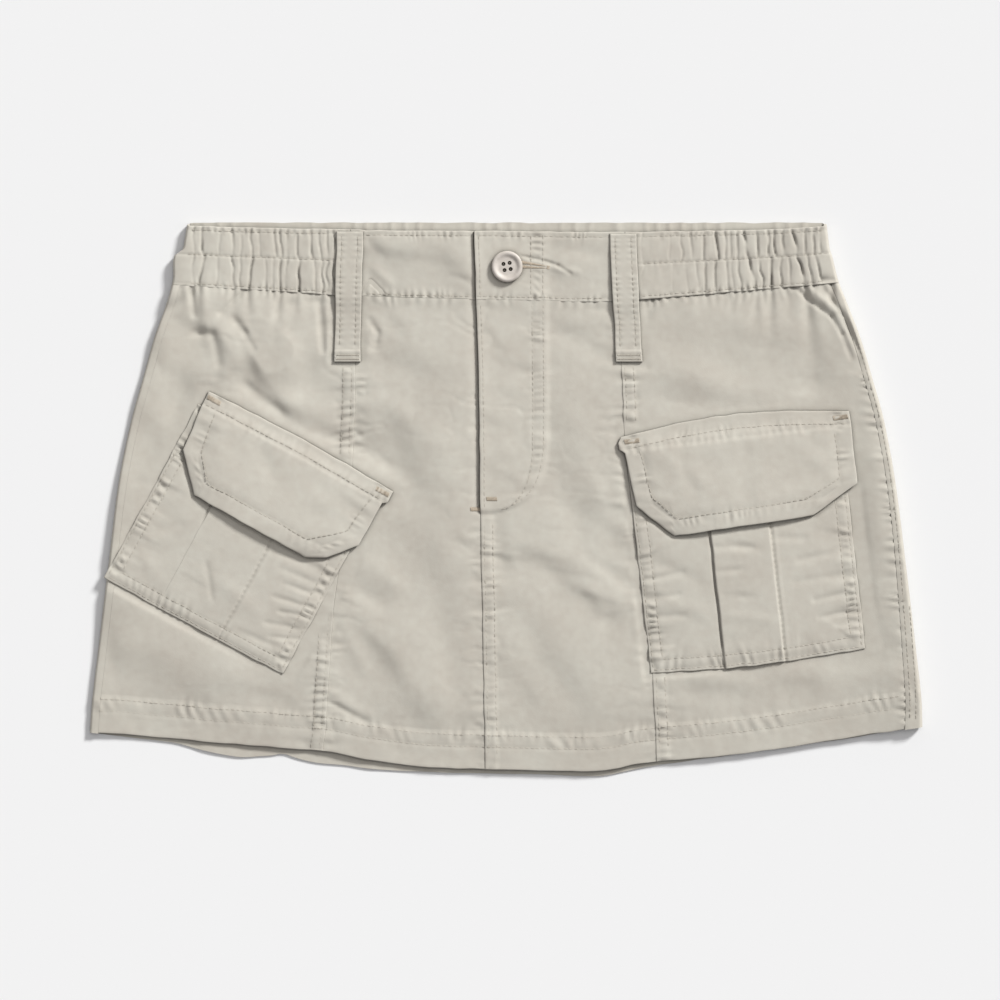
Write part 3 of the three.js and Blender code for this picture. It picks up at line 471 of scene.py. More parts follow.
def gather_moving(x, rows, t):
    """Troughs that move from one place to another as t goes from 0 to 1, with puffs between them."""
    z = np.zeros(x.shape)
    rows = sorted(rows)
    places = [mix(a, b, t) + 0.7 * ripple(2.6 * t, 3.7 * n) for n, (a, b, _) in enumerate(rows)]
    for n, (place, (_, _, deep)) in enumerate(zip(places, rows)):
        length = np.clip(0.85 + 0.9 * ripple(2.2 * t + 5.3 * n, 1.9 * n), 0.1, 1.4)
        narrow = 0.42 + 0.16 * deep
        z -= 0.9 * deep * length * bump((x - place) / narrow)
        z -= 0.14 * deep * bump((x - place) / (4 * narrow))
    for n in range(len(rows) - 1):
        gap = np.maximum(places[n + 1] - places[n], 1.0)
        s = np.clip((x - places[n]) / gap, 0, 1)
        z += np.minimum(gap / 8, 1) * (rows[n][2] + rows[n + 1][2]) * 0.11 * np.sin(np.pi * s) ** 0.8
    return z


def gathers_at(x, side, share):
    """Relief of the gathers on the waistband; share is 0 at its upper edge and 1 at its foot."""
    rows = GATHERS[side]
    upper = ease((STITCH_ROW - share) / 0.02 + 0.5)
    above = np.clip(share / STITCH_ROW, 0, 1)
    below = np.clip((share - STITCH_ROW) / (1 - STITCH_ROW), 0, 1)
    moved = x + 0.7 * middling(share * 6, x / 9)
    up = gather_moving(moved, [(r[0], r[1], r[4]) for r in rows], above)
    low = gather_moving(moved, [(r[2], r[3], r[5]) for r in rows], below)
    z = mix(low, up, upper) + 0.10 * fine(x / 2.6, share * 5) + 0.14 * middling(x / 5, share * 3)
    return z * (1 - 0.45 * bump((share - STITCH_ROW) / 0.05) - 0.35 * bump(share / 0.06))


def gathers_below(x, y):
    """The same gathers fading out in the cloth under the waistband, each as far as it goes."""
    below = np.maximum(0, waist(x) - y)
    z = np.zeros(x.shape)
    for side, outward in (("left", -1), ("right", 1)):
        for n, (_, _, _, foot, _, deep) in enumerate(GATHERS[side]):
            strong = deep * (0.35 + 0.85 * abs(math.sin(2.3 * n + 0.7)))
            fan = foot + outward * below * (0.12 * math.sin(3.1 * n + 1) + 0.05)
            narrow = 0.8 + 0.3 * deep + below / 9
            fade = strong * bump(below / (4 + 13 * strong**2))
            z -= 0.8 * fade * bump((x - fan) / narrow)
            z += 0.3 * fade * bump((x - fan - 2.8) / (1.3 * narrow))
    return z


def wrinkled(x, y, scale=1.0):
    """Washed cotton: soft unevenness at several sizes."""
    z = 0.22 * broad(x / 34, y / 27) + 0.10 * middling(x / 13 + 5, y / 11)
    z += 0.035 * fine(x / 4.2, y / 3.4) + 0.018 * ripple(x / 1.9, y / 1.7)
    return scale * z


def crumpled(x, y):
    """Sparse small sharp wrinkles, mostly running across, gathered near the seams and the fly."""
    n = middling(x / 21 + 3, y / 8 + 50) + 0.45 * fine(x / 9, y / 4.5)
    lines = np.maximum(0, 1 - np.abs(n) * 2.2) ** 3
    mask = np.clip(broad(x / 30 + 9, y / 24 + 7) * 1.6 + 0.1, 0, 1)
    near = sum(bump((x - place(y)) / 13) for place in (princess_left, centre, princess_right))
    near = near + bump((x - 14) / 12) * (y > 0) + 0.8 * bump(np.hypot((x + 168) / 44, (y - 86) / 30))
    return -0.38 * lines * np.clip(0.35 * mask + 0.75 * near * np.clip(mask + 0.35, 0, 1), 0, 1)


def cloth_top(x, y):
    """The front cloth with all that shows on it."""
    clear = open_cloth(x, y)
    rise = np.clip(creased(x, y, FOLDS) + sloped(x, y, SLOPES), -2.0, 2.2) + gathers_below(x, y)
    fine_relief = seam_relief(x, y) + wrinkled(x, y) + crumpled(x, y)
    rise -= HEM_DROP * bump((y - hem(x)) / 20)
    return (cloth_smooth(x, y) + SKIN + fly_rise(x, y) + hem_rise(x, y)
            + clear * np.maximum(rise, 0) + open_cloth(x, y, 12.0) * np.minimum(rise, 0)
            + mix(0.25, 1.0, clear) * fine_relief)


# Meshes
def mesh_object(name, points, quads, material):
    points, quads = np.asarray(points, float) * MM, np.asarray(quads, np.int32)
    mesh = bpy.data.meshes.new(name)
    mesh.vertices.add(len(points))
    mesh.vertices.foreach_set("co", points.ravel())
    corners = quads.shape[1]
    mesh.loops.add(quads.size)
    mesh.loops.foreach_set("vertex_index", quads.ravel())
    mesh.polygons.add(len(quads))
    mesh.polygons.foreach_set("loop_start", np.arange(0, quads.size, corners, dtype=np.int32))
    mesh.polygons.foreach_set("loop_total", np.full(len(quads), corners, np.int32))
    mesh.update(calc_edges=True)
    mesh.validate()
    mesh.polygons.foreach_set("use_smooth", np.ones(len(mesh.polygons), bool))
    return placed(name, mesh, material)


def placed(name, data, material=None):
    """A new object in the scene, from its mesh, lamp or camera."""
    made = bpy.data.objects.new(name, data)
    bpy.context.scene.collection.objects.link(made)
    if material:
        data.materials.append(material)
    return made


def grid_quads(high, wide, first=0, flip=False):
    i, j = np.meshgrid(np.arange(high - 1), np.arange(wide - 1), indexing="ij")
    a = first + i * wide + j
    quads = np.stack([a, a + 1, a + 1 + wide, a + wide], -1).reshape(-1, 4)
    return quads[:, ::-1] if flip else quads


def shell(name, outer, inner):
    """A closed shell between two grids of points, rows by columns by 3. It stands for a node."""
    high, wide = outer.shape[:2]
    count = high * wide
    points = np.concatenate([outer.reshape(-1, 3), inner.reshape(-1, 3)])
    ring = np.concatenate([
        np.arange(wide),
        np.arange(1, high) * wide + wide - 1,
        (high - 1) * wide + np.arange(wide - 2, -1, -1),
        np.arange(high - 2, 0, -1) * wide,
    ])
    after = np.roll(ring, -1)
    rim = np.stack([ring, ring + count, after + count, after], -1)
    quads = np.concatenate([grid_quads(high, wide), grid_quads(high, wide, count, True), rim])
    a, b, c, d = (points[quads[:, k]] for k in range(4))
    if np.einsum("ij,ij->", a, np.cross(b, c) + np.cross(c, d)) < 0:
        quads = quads[:, ::-1]
    piece = mesh_object(name + "_cloth", points, quads, twill)
    # the rim is a turned edge, so its shading stays apart from the two faces
    on_rim = np.zeros(2 * count, bool)
    on_rim[ring] = on_rim[ring + count] = True
    ends = np.empty(len(piece.data.edges) * 2, np.int32)
    piece.data.edges.foreach_get("vertices", ends)
    ends = ends.reshape(-1, 2)
    same_face = (ends[:, 0] < count) == (ends[:, 1] < count)
    sharp = on_rim[ends].all(1) & same_face
    piece.data.attributes.new("sharp_edge", "BOOLEAN", "EDGE").data.foreach_set("value", sharp)
    return finish_piece(piece, name)


ROUND = [0.0, 0.07, 0.22, 0.5]


def spread(length, step, round_start=True):
    """Places along a length, closer together at the ends that are rounded over."""
    start = np.array(ROUND if round_start else [0.0])
    end = length - np.array(ROUND[::-1])
    count = max(2, int(round((end[0] - start[-1]) / step)))
    middle = np.linspace(start[-1], end[0], count + 1)[1:-1]
    return np.concatenate([start, middle, end]) / length


def rounding(distance):
    """How far a surface has turned down at a distance from its edge."""
    d = np.clip(distance, 0, EDGE_ROUND)
    return EDGE_ROUND - np.sqrt(np.maximum(EDGE_ROUND**2 - (EDGE_ROUND - d) ** 2, 0))


def stack(x, y, z):
    return np.stack(np.broadcast_arrays(x, y, z), -1)


def laid_piece(name, x, y, top, low, share, row, width, tall, thin=0.3):
    """A piece that lies on others, with its rim rounded. Unless thin is None, its underside goes
    down where the piece would be thinner than that."""
    top = top - rounding(np.minimum(inward(share, width), inward(row, tall)))
    low = low if thin is None else np.minimum(low, top - thin)
    return shell(name, stack(x, y, top), stack(x, y, low))


# Materials
def linear(r, g, b):
    def one(c):
        c /= 255
        return c / 12.92 if c <= 0.04045 else ((c + 0.055) / 1.055) ** 2.4
    return one(r), one(g), one(b), 1.0


class Graph:
    """A material and its nodes. A socket takes a value, or another node's output."""

    def __init__(self, name):
        self.material = bpy.data.materials.new(name)
        self.material.use_nodes = True
        self.tree = self.material.node_tree
        self.shader = self.tree.nodes["Principled BSDF"]
        self.where = self.add("TexCoord").outputs["Object"]

    def set(self, node, sockets):
        for key, value in sockets.items():
            if isinstance(value, bpy.types.NodeSocket):
                self.tree.links.new(value, node.inputs[key])
            else:
                node.inputs[key].default_value = value

    def add(self, kind, sockets={}, **settings):
        node = self.tree.nodes.new("ShaderNode" + kind)
        for key, value in settings.items():
            setattr(node, key, value)
        self.set(node, sockets)
        return node

    def noise(self, scale, detail=2.0, rough=0.5, distort=0.0):
        return self.add("TexNoise", {"Vector": self.where, "Scale": scale, "Detail": detail,
                                     "Roughness": rough, "Distortion": distort}).outputs["Fac"]

    def wave(self, scale, angle, distort):
        turned = self.add("Mapping", {"Vector": self.where, "Rotation": (0, 0, math.radians(angle))})
        return self.add("TexWave", {"Vector": turned.outputs[0], "Scale": scale, "Distortion": distort,
                                    "Detail": 1.0, "Detail Scale": 2.0}).outputs["Fac"]

    def math(self, operation, a, b):
        return self.add("Math", {0: a, 1: b}, operation=operation).outputs[0]

    def sum(self, *parts):
        """Sum of values, each times its share."""
        total = None
        for value, share in parts:
            part = self.math("MULTIPLY", value, share)
            total = self.math("ADD", total, part) if total else part
        return total

    def ramp(self, value, *stops):
        """A colour for a value, from two stops."""
        node = self.add("ValToRGB", {0: value})
        for element, (place, colour) in zip(node.color_ramp.elements, stops):
            element.position, element.color = place, colour
        return node.outputs[0]

    def scaled(self, value, low, high, to_low, to_high):
        return self.add("MapRange", {"Value": value, "From Min": low, "From Max": high,
                                     "To Min": to_low, "To Max": to_high}).outputs["Result"]

    def times(self, a, b):
        return self.add("Mix", {"Factor": 1.0, "A": a, "B": b}, data_type="RGBA",
                        blend_type="MULTIPLY").outputs["Result"]


def cloth_material(name, light, dark):
    """Garment-washed cotton twill: diagonal weave, mottled dye, a dry sheen."""
    g = Graph(name)
    # dye: broad and small mottling between a lighter and a darker tone
    dye = g.sum((g.noise(26, 3), 0.55), (g.noise(210, 4, 0.6), 0.45))
    colour = g.ramp(dye, (0.33, dark), (0.67, light))
    # twill: fine diagonal ribs, broken up by the yarns
    weave = g.sum((g.wave(420, 58, 1.2), 0.6), (g.wave(520, 0, 1.6), 0.25), (g.noise(900, 2, 0.7), 0.5))
    shade = g.ramp(weave, (0.25, (0.93, 0.93, 0.93, 1)), (0.85, (1.04, 1.04, 1.04, 1)))
    colour = g.times(colour, shade)
    # painted shade: the colour is a little darker towards the hem, standing in for light that falls off
    # across the skirt
    split = g.add("SeparateXYZ", {0: g.where})
    colour = g.times(colour, g.scaled(split.outputs["Y"], -0.14, 0.06, 0.956, 1.0))
    # painted shade: the colour is darkened in creases and gaps where other cloth is close above, standing
    # in for the shade that falls there
    painted_crevice_shade = g.add("AmbientOcclusion", {"Distance": 0.0035}, samples=6)
    colour = g.times(colour, g.scaled(painted_crevice_shade.outputs["AO"], 0.33, 0.9, 0.12, 1.0))
    crumple = g.add("Bump", {"Strength": 0.25, "Distance": 0.0005, "Height": g.noise(150, 3, 0.5)})
    woven = g.add("Bump", {"Strength": 0.35, "Distance": 0.00012, "Height": weave,
                           "Normal": crumple.outputs[0]})
    g.set(g.shader, {"Base Color": colour, "Normal": woven.outputs[0], "Roughness": 0.92,
                     "Specular IOR Level": 0.18, "Sheen Weight": 0.12, "Sheen Roughness": 0.55})
    return g.material


def speckled_material(name, rough, specular, noise, *stops):
    """A plain material whose colour varies a little."""
    g = Graph(name)
    g.set(g.shader, {"Roughness": rough, "Specular IOR Level": specular,
                     "Base Color": g.ramp(g.noise(*noise), *stops)})
    return g.material


def thread_material(name, colour):
    darker = tuple(c * 0.86 for c in colour[:3]) + (1.0,)
    return speckled_material(name, 0.6, 0.35, (700,), (0.3, darker), (0.7, colour))


twill = cloth_material("twill", light=linear(199, 195, 183), dark=linear(188, 181.5, 169.5))
thread = thread_material("thread", linear(206, 199, 185))
brown_thread = thread_material("thread_brown", linear(200, 186, 166))
resin = speckled_material("button_resin", 0.5, 0.5, (160, 3, 0.5, 1.4), (0.35, linear(192, 184, 174)),
                          (0.65, linear(206, 198, 189)))


def finish_piece(piece, *nodes, slot="twill"):
    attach(piece, "root")
    if nodes:
        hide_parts(*nodes)
    return piece


# Front panels
def front_panel(name, left, right, across, round_left=0.25, round_right=0.25):
    """One panel between two seams, from under the waistband to the turned hem."""
    share, drop = np.meshgrid(spread(across, PANEL_STEP), spread(PANEL_TALL, PANEL_STEP, False))
    y = mix(116, -148, drop)
    for _ in range(6):
        x = mix(left(y) + SEAM_GAP, right(y) - SEAM_GAP, share)
        y = mix(waist(x) + UNDER_BAND, hem(x), drop)
    width = right(y) - left(y)
    top = cloth_top(x, y) - rounding((1 - drop) * PANEL_TALL)
    top = top - round_left * rounding(share * width) - round_right * rounding((1 - share) * width)
    return shell(name, stack(x, y, top), stack(x, y, np.maximum(top - CLOTH, FRONT_LOWEST)))


front_panel("front_side_left", side_left, princess_left, 130, 0.0, 0.25)
front_panel("front_centre_left", princess_left, centre, 90, 0.25, 0.5)
front_panel("front_centre_right", centre, princess_right, 95, 1.0, 0.25)
front_panel("front_side_right", princess_right, side_right, 140, 0.25, 0.2)


# Back panel and elastic waistband: a laid tube, open where the front meets it
def laid_tube(rows, front_y, back_y, front_left, front_right, top_at, under_at, wall, back_step):
    """Outer and inner grids of a tube's back: from the front's left seam, round the left fold, under
    the skirt, round the right fold and back to the front's right seam."""
    columns = []

    def settle(x_of, y_of):
        y = y_of(np.zeros_like(rows))
        for _ in range(5):
            x = x_of(y)
            y = y_of(x)
        return x, y

    def front(x_of):
        x, y = settle(x_of, front_y)
        top = top_at(x, y)
        columns.append((stack(x, y, top), stack(x, y, top - wall)))

    def fold(edge, sign, deep, turn):
        out, up = math.sin(math.pi * turn), math.cos(math.pi * turn)
        x, y = settle(lambda y: edge(y) + sign * (deep - deep * out),
                      lambda x: mix(front_y(x), back_y(x), turn))
        base = edge(y) + sign * deep
        half = top_at(base, y) / 2
        columns.append((stack(x, y, half * (1 + up)),
                        stack(base - sign * (deep - wall) * out, y, half + (half - wall) * up)))

    def under(share):
        x, y = settle(lambda y: mix(edge_left(y) + FOLD_DEPTH, edge_right(y) - FOLD_DEPTH, share), back_y)
        low = under_at(x, y)
        columns.append((stack(x, y, low), stack(x, y, low + wall)))

    turns = np.linspace(0, 1, TURNS)
    for x_of in front_left:
        front(x_of)
    for turn in turns:
        fold(edge_left, 1, FOLD_LEFT, turn)
    for share in np.linspace(0, 1, int(round(BACK_WIDE / back_step)) + 1)[1:-1]:
        under(share)
    for turn in turns[::-1]:
        fold(edge_right, -1, FOLD_DEPTH, turn)
    for x_of in front_right:
        front(x_of)
    return [np.stack(side, 1) for side in zip(*columns)]


BACK_FOLDS = [
    # x0, y0, x1, y1, half, rise
    (-150, 112, -128, 70, 5, 0.9), (-96, 108, -84, 60, 4.5, 0.7), (-40, 112, -34, 76, 5, 0.8),
    (24, 110, 40, 58, 5, 0.8), (86, 112, 80, 70, 4.5, 0.7), (150, 110, 126, 66, 5.5, 0.9),
    (-190, 40, -120, 6, 8, 0.8), (-70, 30, 10, 4, 7, 0.6), (60, 26, 150, -8, 8, 0.8),
    (-160, -50, -60, -84, 8, 0.7), (0, -44, 70, -90, 7, 0.7), (110, -60, 190, -92, 8, 0.7),
]


def back_panel():
    rows = spread(BACK_TALL, BACK_ROW_STEP, False)

    def y_at(x):
        return mix(waist(x) + UNDER_BAND, back_hem(x), rows)

    def under(x, y):
        waves = 0.5 * np.maximum(0, broad(x / 13, y / 60)) * bump((y - back_hem(x)) / 9)
        return LOWEST + waves + np.maximum(0, creased(x, y, BACK_FOLDS))

    def near(side, edge, sign, shares):
        return [lambda y, share=share: mix(side(y) - sign * SEAM_GAP, edge(y) + sign * FOLD_DEPTH, share)
                for share in shares]

    def top(x, y):
        return cloth_top(x, y) + 0.12 * (x > 0)

    left = near(side_left, edge_left, 1, (0.0, 0.4))
    right = near(side_right, edge_right, -1, np.linspace(1, 0, 13)[1:])
    shell("back_panel", *laid_tube(rows, y_at, y_at, left, right, top, under, CLOTH, BACK_STEP))


back_panel()


# Waistband
BAND_SLOPES = [
    # x0, y0, x1, y1, half, drop
    (-78, 140, -36, 134, 3.6, 1.9), (-70, 131, -28, 124, 6, 1.5), (-72, 124, -58, 118, 3, 0.5),
    (-36, 146, -30, 122, 4, 0.4), (28, 128, 58, 124, 4, 0.6), (34, 144, 60, 140, 4, 0.4),
    (24, 140, 30, 126, 2.5, 0.5),
]
BAND_FOLDS = [
    # x0, y0, x1, y1, half, rise
    (-77, 123, -83, 115.5, 1, -0.6), (-76.5, 123, -68, 114.5, 1.1, -0.8), (-74, 130, -66, 122, 3, 0.5),
    (-80, 148, -70, 138, 3, -0.4), (-60, 140, -30, 134, 6, -0.3), (9, 137.2, 22, 134.4, 0.8, -0.7),
    (22, 134.4, 29, 132, 0.9, -0.7), (29, 132, 36, 127.5, 1.1, -0.6), (24, 131, 40, 128, 2, 0.4),
    (30, 142, 52, 138, 4, -0.3), (-30, 126, -19, 122, 2.4, -0.4),
]
BAND_JOINTS = {"left": -88.0, "right": 67.0}
BAND_FOLD = 178.5    # where the elastic waistband's front ends and its side folds start


def band_smooth(x, y):
    return BAND_TOP + side_rise(x, y)


def band_y(x, share):
    """A place on the waistband's front, from its upper edge, 0, to its foot, 1."""
    return mix(band_edge(x), waist(x) - 0.1, share)


def band_top(x, y, gathered=True):
    share = np.clip((band_edge(x) - y) / (band_edge(x) - waist(x)), 0, 1)
    z = band_smooth(x, y) + SKIN + 0.05 * fine(x / 5, y / 5) + 0.02 * ripple(x / 2, y / 2)
    over = x - centre(y)
    z += FLY_RISE * (over > 0) * ease((26 - x) / 7)
    z += np.where(over > 0, 0.5 * bump(over / 4), -0.7 * bump(over / 3.5)) * (np.abs(over) < 12)
    z += puckers(y, x - 17.5, 3.6, 0.14, 4.6, 20)
    if gathered:
        z += gathers_at(x, "left", share) * ease((-93 - x) / 3)
        z += gathers_at(x, "right", share) * ease((x - 74) / 3)
        z -= 0.28 * bump((share - STITCH_ROW) / 0.018)
        drawn = np.sin(2 * np.pi * (x / 4.1 + 0.8 * ripple(x / 9, 1.2)))
        z += 0.10 * drawn * bump((share - STITCH_ROW) / 0.05)
    else:
        z += 0.16 * broad(x / 20, y / 16) + sloped(x, y, BAND_SLOPES)
    z -= 0.15 * bump((share - 0.07) / 0.02) + 0.12 * bump((share - 0.95) / 0.02)
    z += puckers(x, (share - 0.05) * BAND_TALL, 2.6, 0.12, 4.1, 22)
    return z + puckers(x, (share - 0.96) * BAND_TALL, 2.6, 0.12, 4.4, 23)


def elastic_band():
    rows = spread(BAND_TALL, BAND_STEP)

    def back_y(x):
        return mix(BACK_TOP + 0.35 * ripple(x / 7, 3.3), waist(x) - 0.1, rows)

    def places(first, last):
        return [lambda y, x=x: np.full_like(y, x) for x in np.arange(first, last, -BAND_STEP)]

    def under(x, y):
        drawn = np.maximum(0, np.sin(2 * np.pi * (x / 8.1 + 0.8 * ripple(x / 23, y / 120))))
        return LOWEST + 0.6 * drawn**2 * np.clip(0.6 + ripple(x / 12, 9.3), 0.1, 1.2)

    def top(x, y):
        return band_top(x, y) - rounding(inward(rows, BAND_TALL))

    shell("waistband_elastic", *laid_tube(
        rows, lambda x: band_y(x, rows), back_y, places(BAND_JOINTS["left"], -BAND_FOLD),
        places(BAND_FOLD, BAND_JOINTS["right"]), top, under, BAND, BACK_BAND_STEP))


def flat_band(name, left, right, width):
    share, drop = np.meshgrid(spread(width, BAND_STEP), spread(BAND_TALL, BAND_STEP))
    y = np.full_like(share, 130.0)
    for _ in range(4):
        x = mix(left(y), right(y), share)
        y = band_y(x, drop)
    top = band_top(x, y, gathered=False) + creased(x, y, BAND_FOLDS)
    low = band_smooth(x, y) - BAND + SKIN
    laid_piece(name, x, y, top, low, share, drop, width, BAND_TALL, thin=None)


elastic_band()
flat_band("waistband_front_left", lambda y: np.full_like(y, BAND_JOINTS["left"]), centre, 70)
flat_band("waistband_front_right", centre, lambda y: np.full_like(y, BAND_JOINTS["right"]), 85)


# Belt loops
LOOP_FOOT = 0.905    # share of a loop's length where its turned foot starts
LOOP_ROWS = (3.0, LOOP_WIDTH - 3.0)
LOOP_BARS = (0.945, 0.975)


def loop_arch(row):
    """How far a loop stands off between its two ends."""
    return 0.6 * np.sin(np.pi * np.clip(row / 0.91, 0, 1)) ** 2


def loop_seat(x, y):
    above = y - waist(x)
    return SKIN + mix(cloth_smooth(x, y), band_smooth(x, y), ease((above + 11) / 11))


def loop_place(loop, share, row):
    (x0, y0), (x1, y1) = loop["top"], loop["foot"]
    wide = LOOP_WIDTH * (1 - 0.035 * np.sin(np.pi * np.clip((row - 0.45) / 0.5, 0, 1)))
    return mix(x0, x1, row) + (share - 0.5) * wide + 0.25 * ripple(row * 7, x0), mix(y0, y1, row)


def loop_top(x, y, share, row):
    z = loop_seat(x, y) + 1.2 + loop_arch(row) + 0.5 * ease((row - LOOP_FOOT) / 0.012)
    across = share * LOOP_WIDTH
    z = z - sum(0.08 * bump((across - groove) / 0.9) for groove in LOOP_ROWS)
    z -= sum(0.22 * bump((row - bar) / 0.008) for bar in LOOP_BARS)
    drawn = np.sin(2 * np.pi * (row * 20 + 0.6 * ripple(row * 9, 1.0)))
    z += 0.12 * drawn * bump((np.abs(across - LOOP_WIDTH / 2) - 4.5) / 2.2)
    return z + 0.05 * fine(x / 3, y / 3)


for side, loop in LOOPS.items():
    share, row = np.meshgrid(spread(LOOP_WIDTH, 0.5), spread(LOOP_TALL, 0.6))
    x, y = loop_place(loop, share, row)
    laid_piece(f"belt_loop_{side}", x, y, loop_top(x, y, share, row),
               loop_seat(x, y) + 0.25 + loop_arch(row), share, row, LOOP_WIDTH, LOOP_TALL, thin=0.2)


# Pockets
BAG_FOLDS = {
    "left": [
        # u0, v0, u1, v1, half, rise
        (30, 62, 14, 88, 4, 0.3), (22, 74, 10, 84, 3, -0.3), (46, 86, 58, 102, 1.6, -0.4),
        (74, 62, 102, 58, 2.2, -0.4), (84, 68, 109, 65, 1.8, -0.35), (90, 75, 110, 71, 1.5, -0.4),
        (88, 84, 110, 80, 1.5, -0.5), (95, 90, 111, 85, 1.3, -0.6), (91, 99, 110, 93, 1.4, -0.45),
        (97, 105, 111, 99, 1.3, -0.5), (80, 111, 104, 108, 2, -0.4), (56, 92, 84, 96, 5, 0.4),
        (8, 96, 30, 108, 4, 0.3),
    ],
    "right": [
        (80, 66, 96, 68, 2, -0.4), (92, 80, 118, 78, 2.4, -0.5), (88, 92, 120, 92, 2.2, -0.4),
        (98, 104, 120, 101, 1.6, -0.6), (100, 114, 120, 112, 1.6, -0.6), (4, 82, 26, 80, 1.8, -0.5),
        (4, 92, 22, 92, 1.6, -0.5), (4, 102, 24, 104, 1.8, -0.5), (46, 68, 66, 70, 1.8, -0.5),
        (46, 82, 60, 82, 1.8, -0.4), (48, 96, 64, 98, 2, -0.35), (52, 66, 70, 72, 2.4, -0.4),
        (12, 72, 34, 86, 4, -0.4), (10, 92, 34, 104, 4, 0.4), (50, 108, 72, 112, 3.4, 0.35),
    ],
}
FLAP_FOLDS = {
    "left": [
        (14, 14, 30, 44, 7, 0.4), (40, 12, 54, 24, 5, -0.35), (66, 20, 96, 26, 6, 0.35),
        (84, 40, 100, 22, 6, -0.35),
    ],
    "right": [
        (22, 12, 40, 30, 6, 0.35), (36, 34, 30, 14, 4, -0.4), (70, 14, 66, 40, 6, -0.3),
        (96, 16, 116, 34, 5, 0.35), (84, 40, 104, 30, 4, -0.3),
    ],
}


def side_of(corners, v):
    """A flap's side at v, along the straight stretches between its corners."""
    u, at = np.array(corners, float).T
    return np.interp(v, at, u)


def from_edges(u, v, left, right, foot):
    """Distance in from a piece's two sides and its foot, a place along that edge, and whether the
    foot is the nearest."""
    beside, above = np.minimum(u - left, right - u), foot - v
    lower = above < beside
    return np.minimum(beside, above), np.where(lower, u + 300, v), lower


def bag_seat(x, y):
    return cloth_smooth(x, y) + SKIN + 0.25


def bag_foot(pocket, share):
    return pocket["foot"] + pocket["sag"] * np.sin(np.pi * share)


def bag_height(pocket, u, v, share):
    left, right = pocket["bag"]
    rim = np.minimum(np.minimum(u - left, right - u), pocket["foot"] - v)
    down = np.clip(v / pocket["foot"], 0, 1)
    full = (np.sin(np.pi * share) * np.sin(np.pi * down)) ** 0.7 * ease((v - 34) / 40)
    z = pocket["edge"] + 0.4 * ease(rim / 4) + BAG_FULL * full
    # the box pleat, between a and b
    a, b = pocket["pleat"]
    foot = bag_foot(pocket, share)
    raised = mix(0.6, 1.0, ease((v - 34) / 40)) * pocket["pleat_rise"]
    z += raised * ease((u - a) / 0.5 + 0.5) * ease((b - u) / 1.6 + 0.5)
    groove = (0.15 + 0.55 * ease((foot - v - 9) / 5)) * bump((u - a + 0.65) / 0.6)
    z -= groove * mix(ease((70 - v) / 10), 1, pocket["pleat_rise"] > 0.5)
    z -= 0.55 * bump((u - b - 0.4) / 0.9) * (0.7 + 0.3 * np.sin(v * 1.9))
    z += 0.25 * bump((u - b - 2.0) / 1.0)
    hollows = np.maximum(0, ripple(v / 5.5, 3.3) - 0.1) * bump((u - mix(a, b, 0.3)) / 11)
    z -= 0.3 * hollows * ease((v - 60) / 6)
    # double stitching inside three edges, with puckers
    inside, along, lower = from_edges(u, v, left, right, foot)
    z -= sum(0.16 * bump((inside - row) / 0.7) for row in POCKET_ROWS)
    z += puckers(along, inside - 4.6, 4.4, np.where(lower, 0.14, 0.36), 4.9, pocket["seed"])
    # folds, and a groove along the flap's free edge
    z += creased(u, v, BAG_FOLDS[pocket["side"]])
    edge = pocket["flap_left"][-2:] + pocket["flap_right"][:-3:-1]
    near = np.min([lines_apart(u, v, *a, *b)[0] for a, b in zip(edge, edge[1:])], axis=0)
    return z - 0.75 * bump(near / 1.6) + wrinkled(u + 60, v, 0.8)


def pocket_bag(pocket):
    left, right = pocket["bag"]
    width, tall = right - left, pocket["foot"] - BAG_TOP
    pleat = np.add.outer(pocket["pleat"], (-1.3, -0.9, -0.65, -0.4, -0.15, 0.1, 0.35)).ravel()
    columns = np.union1d(spread(width, POCKET_STEP), (pleat - left) / width)
    share, row = np.meshgrid(columns, spread(tall, POCKET_STEP))
    u, v = mix(left, right, share), mix(BAG_TOP, bag_foot(pocket, share), row)
    x, y = from_pocket(pocket, u, v)
    laid_piece(f"pocket_{pocket['side']}_bag", x, y, bag_seat(x, y) + bag_height(pocket, u, v, share),
               bag_seat(x, y), share, row, width, tall)


def flap_under(pocket, v, share):
    """How far the flap's underside is above the cloth: little at its seam, and most at its free edge,
    over the pleat."""
    deep = pocket["flap_left"][-1][1]
    middle = np.sin(np.pi * np.clip(share, 0, 1)) ** 0.6
    over_bag = mix(0.2, 1.0, ease((v - 1) / 9)) * mix(1.1, 2.1, middle)
    return 0.1 + over_bag + ease((v - 12) / (deep - 12)) * mix(0.4, FLAP_LIFT, middle)


def flap_height(pocket, u, v, share):
    seed = pocket["seed"]
    z = flap_under(pocket, v, share) + mix(0.8, 1.2, ease((v - 1) / 8))
    z += 0.3 * bump((v - 2.4) / 3.2) - 0.35 * bump(v - FLAP_SEWN)
    z += 0.35 * puckers(u, v - 3.4, 3.2, 0.25, 3.6, seed + 9)
    left, right = (side_of(pocket[key], np.clip(v, 0, None)) for key in ("flap_left", "flap_right"))
    foot = mix(pocket["flap_left"][-1][1], pocket["flap_right"][-1][1], share)
    inside, along, lower = from_edges(u, v, left, right, foot)
    z -= 0.17 * bump((inside - FLAP_ROW) / 0.8) * ease((v - 9) / 3)
    z += 0.25 * ease((inside - FLAP_ROW) / 5) * ease((v - 8) / 6)
    z += puckers(along, inside - 7.0, 4.0, np.where(lower, 0.1, 0.2), 4.6, seed + 3)
    z += puckers(u, v - 7.0, 2.8, 0.12, 4.3, seed + 5)
    return z + creased(u, v, FLAP_FOLDS[pocket["side"]]) + wrinkled(u + 20, v + 90, 0.8)


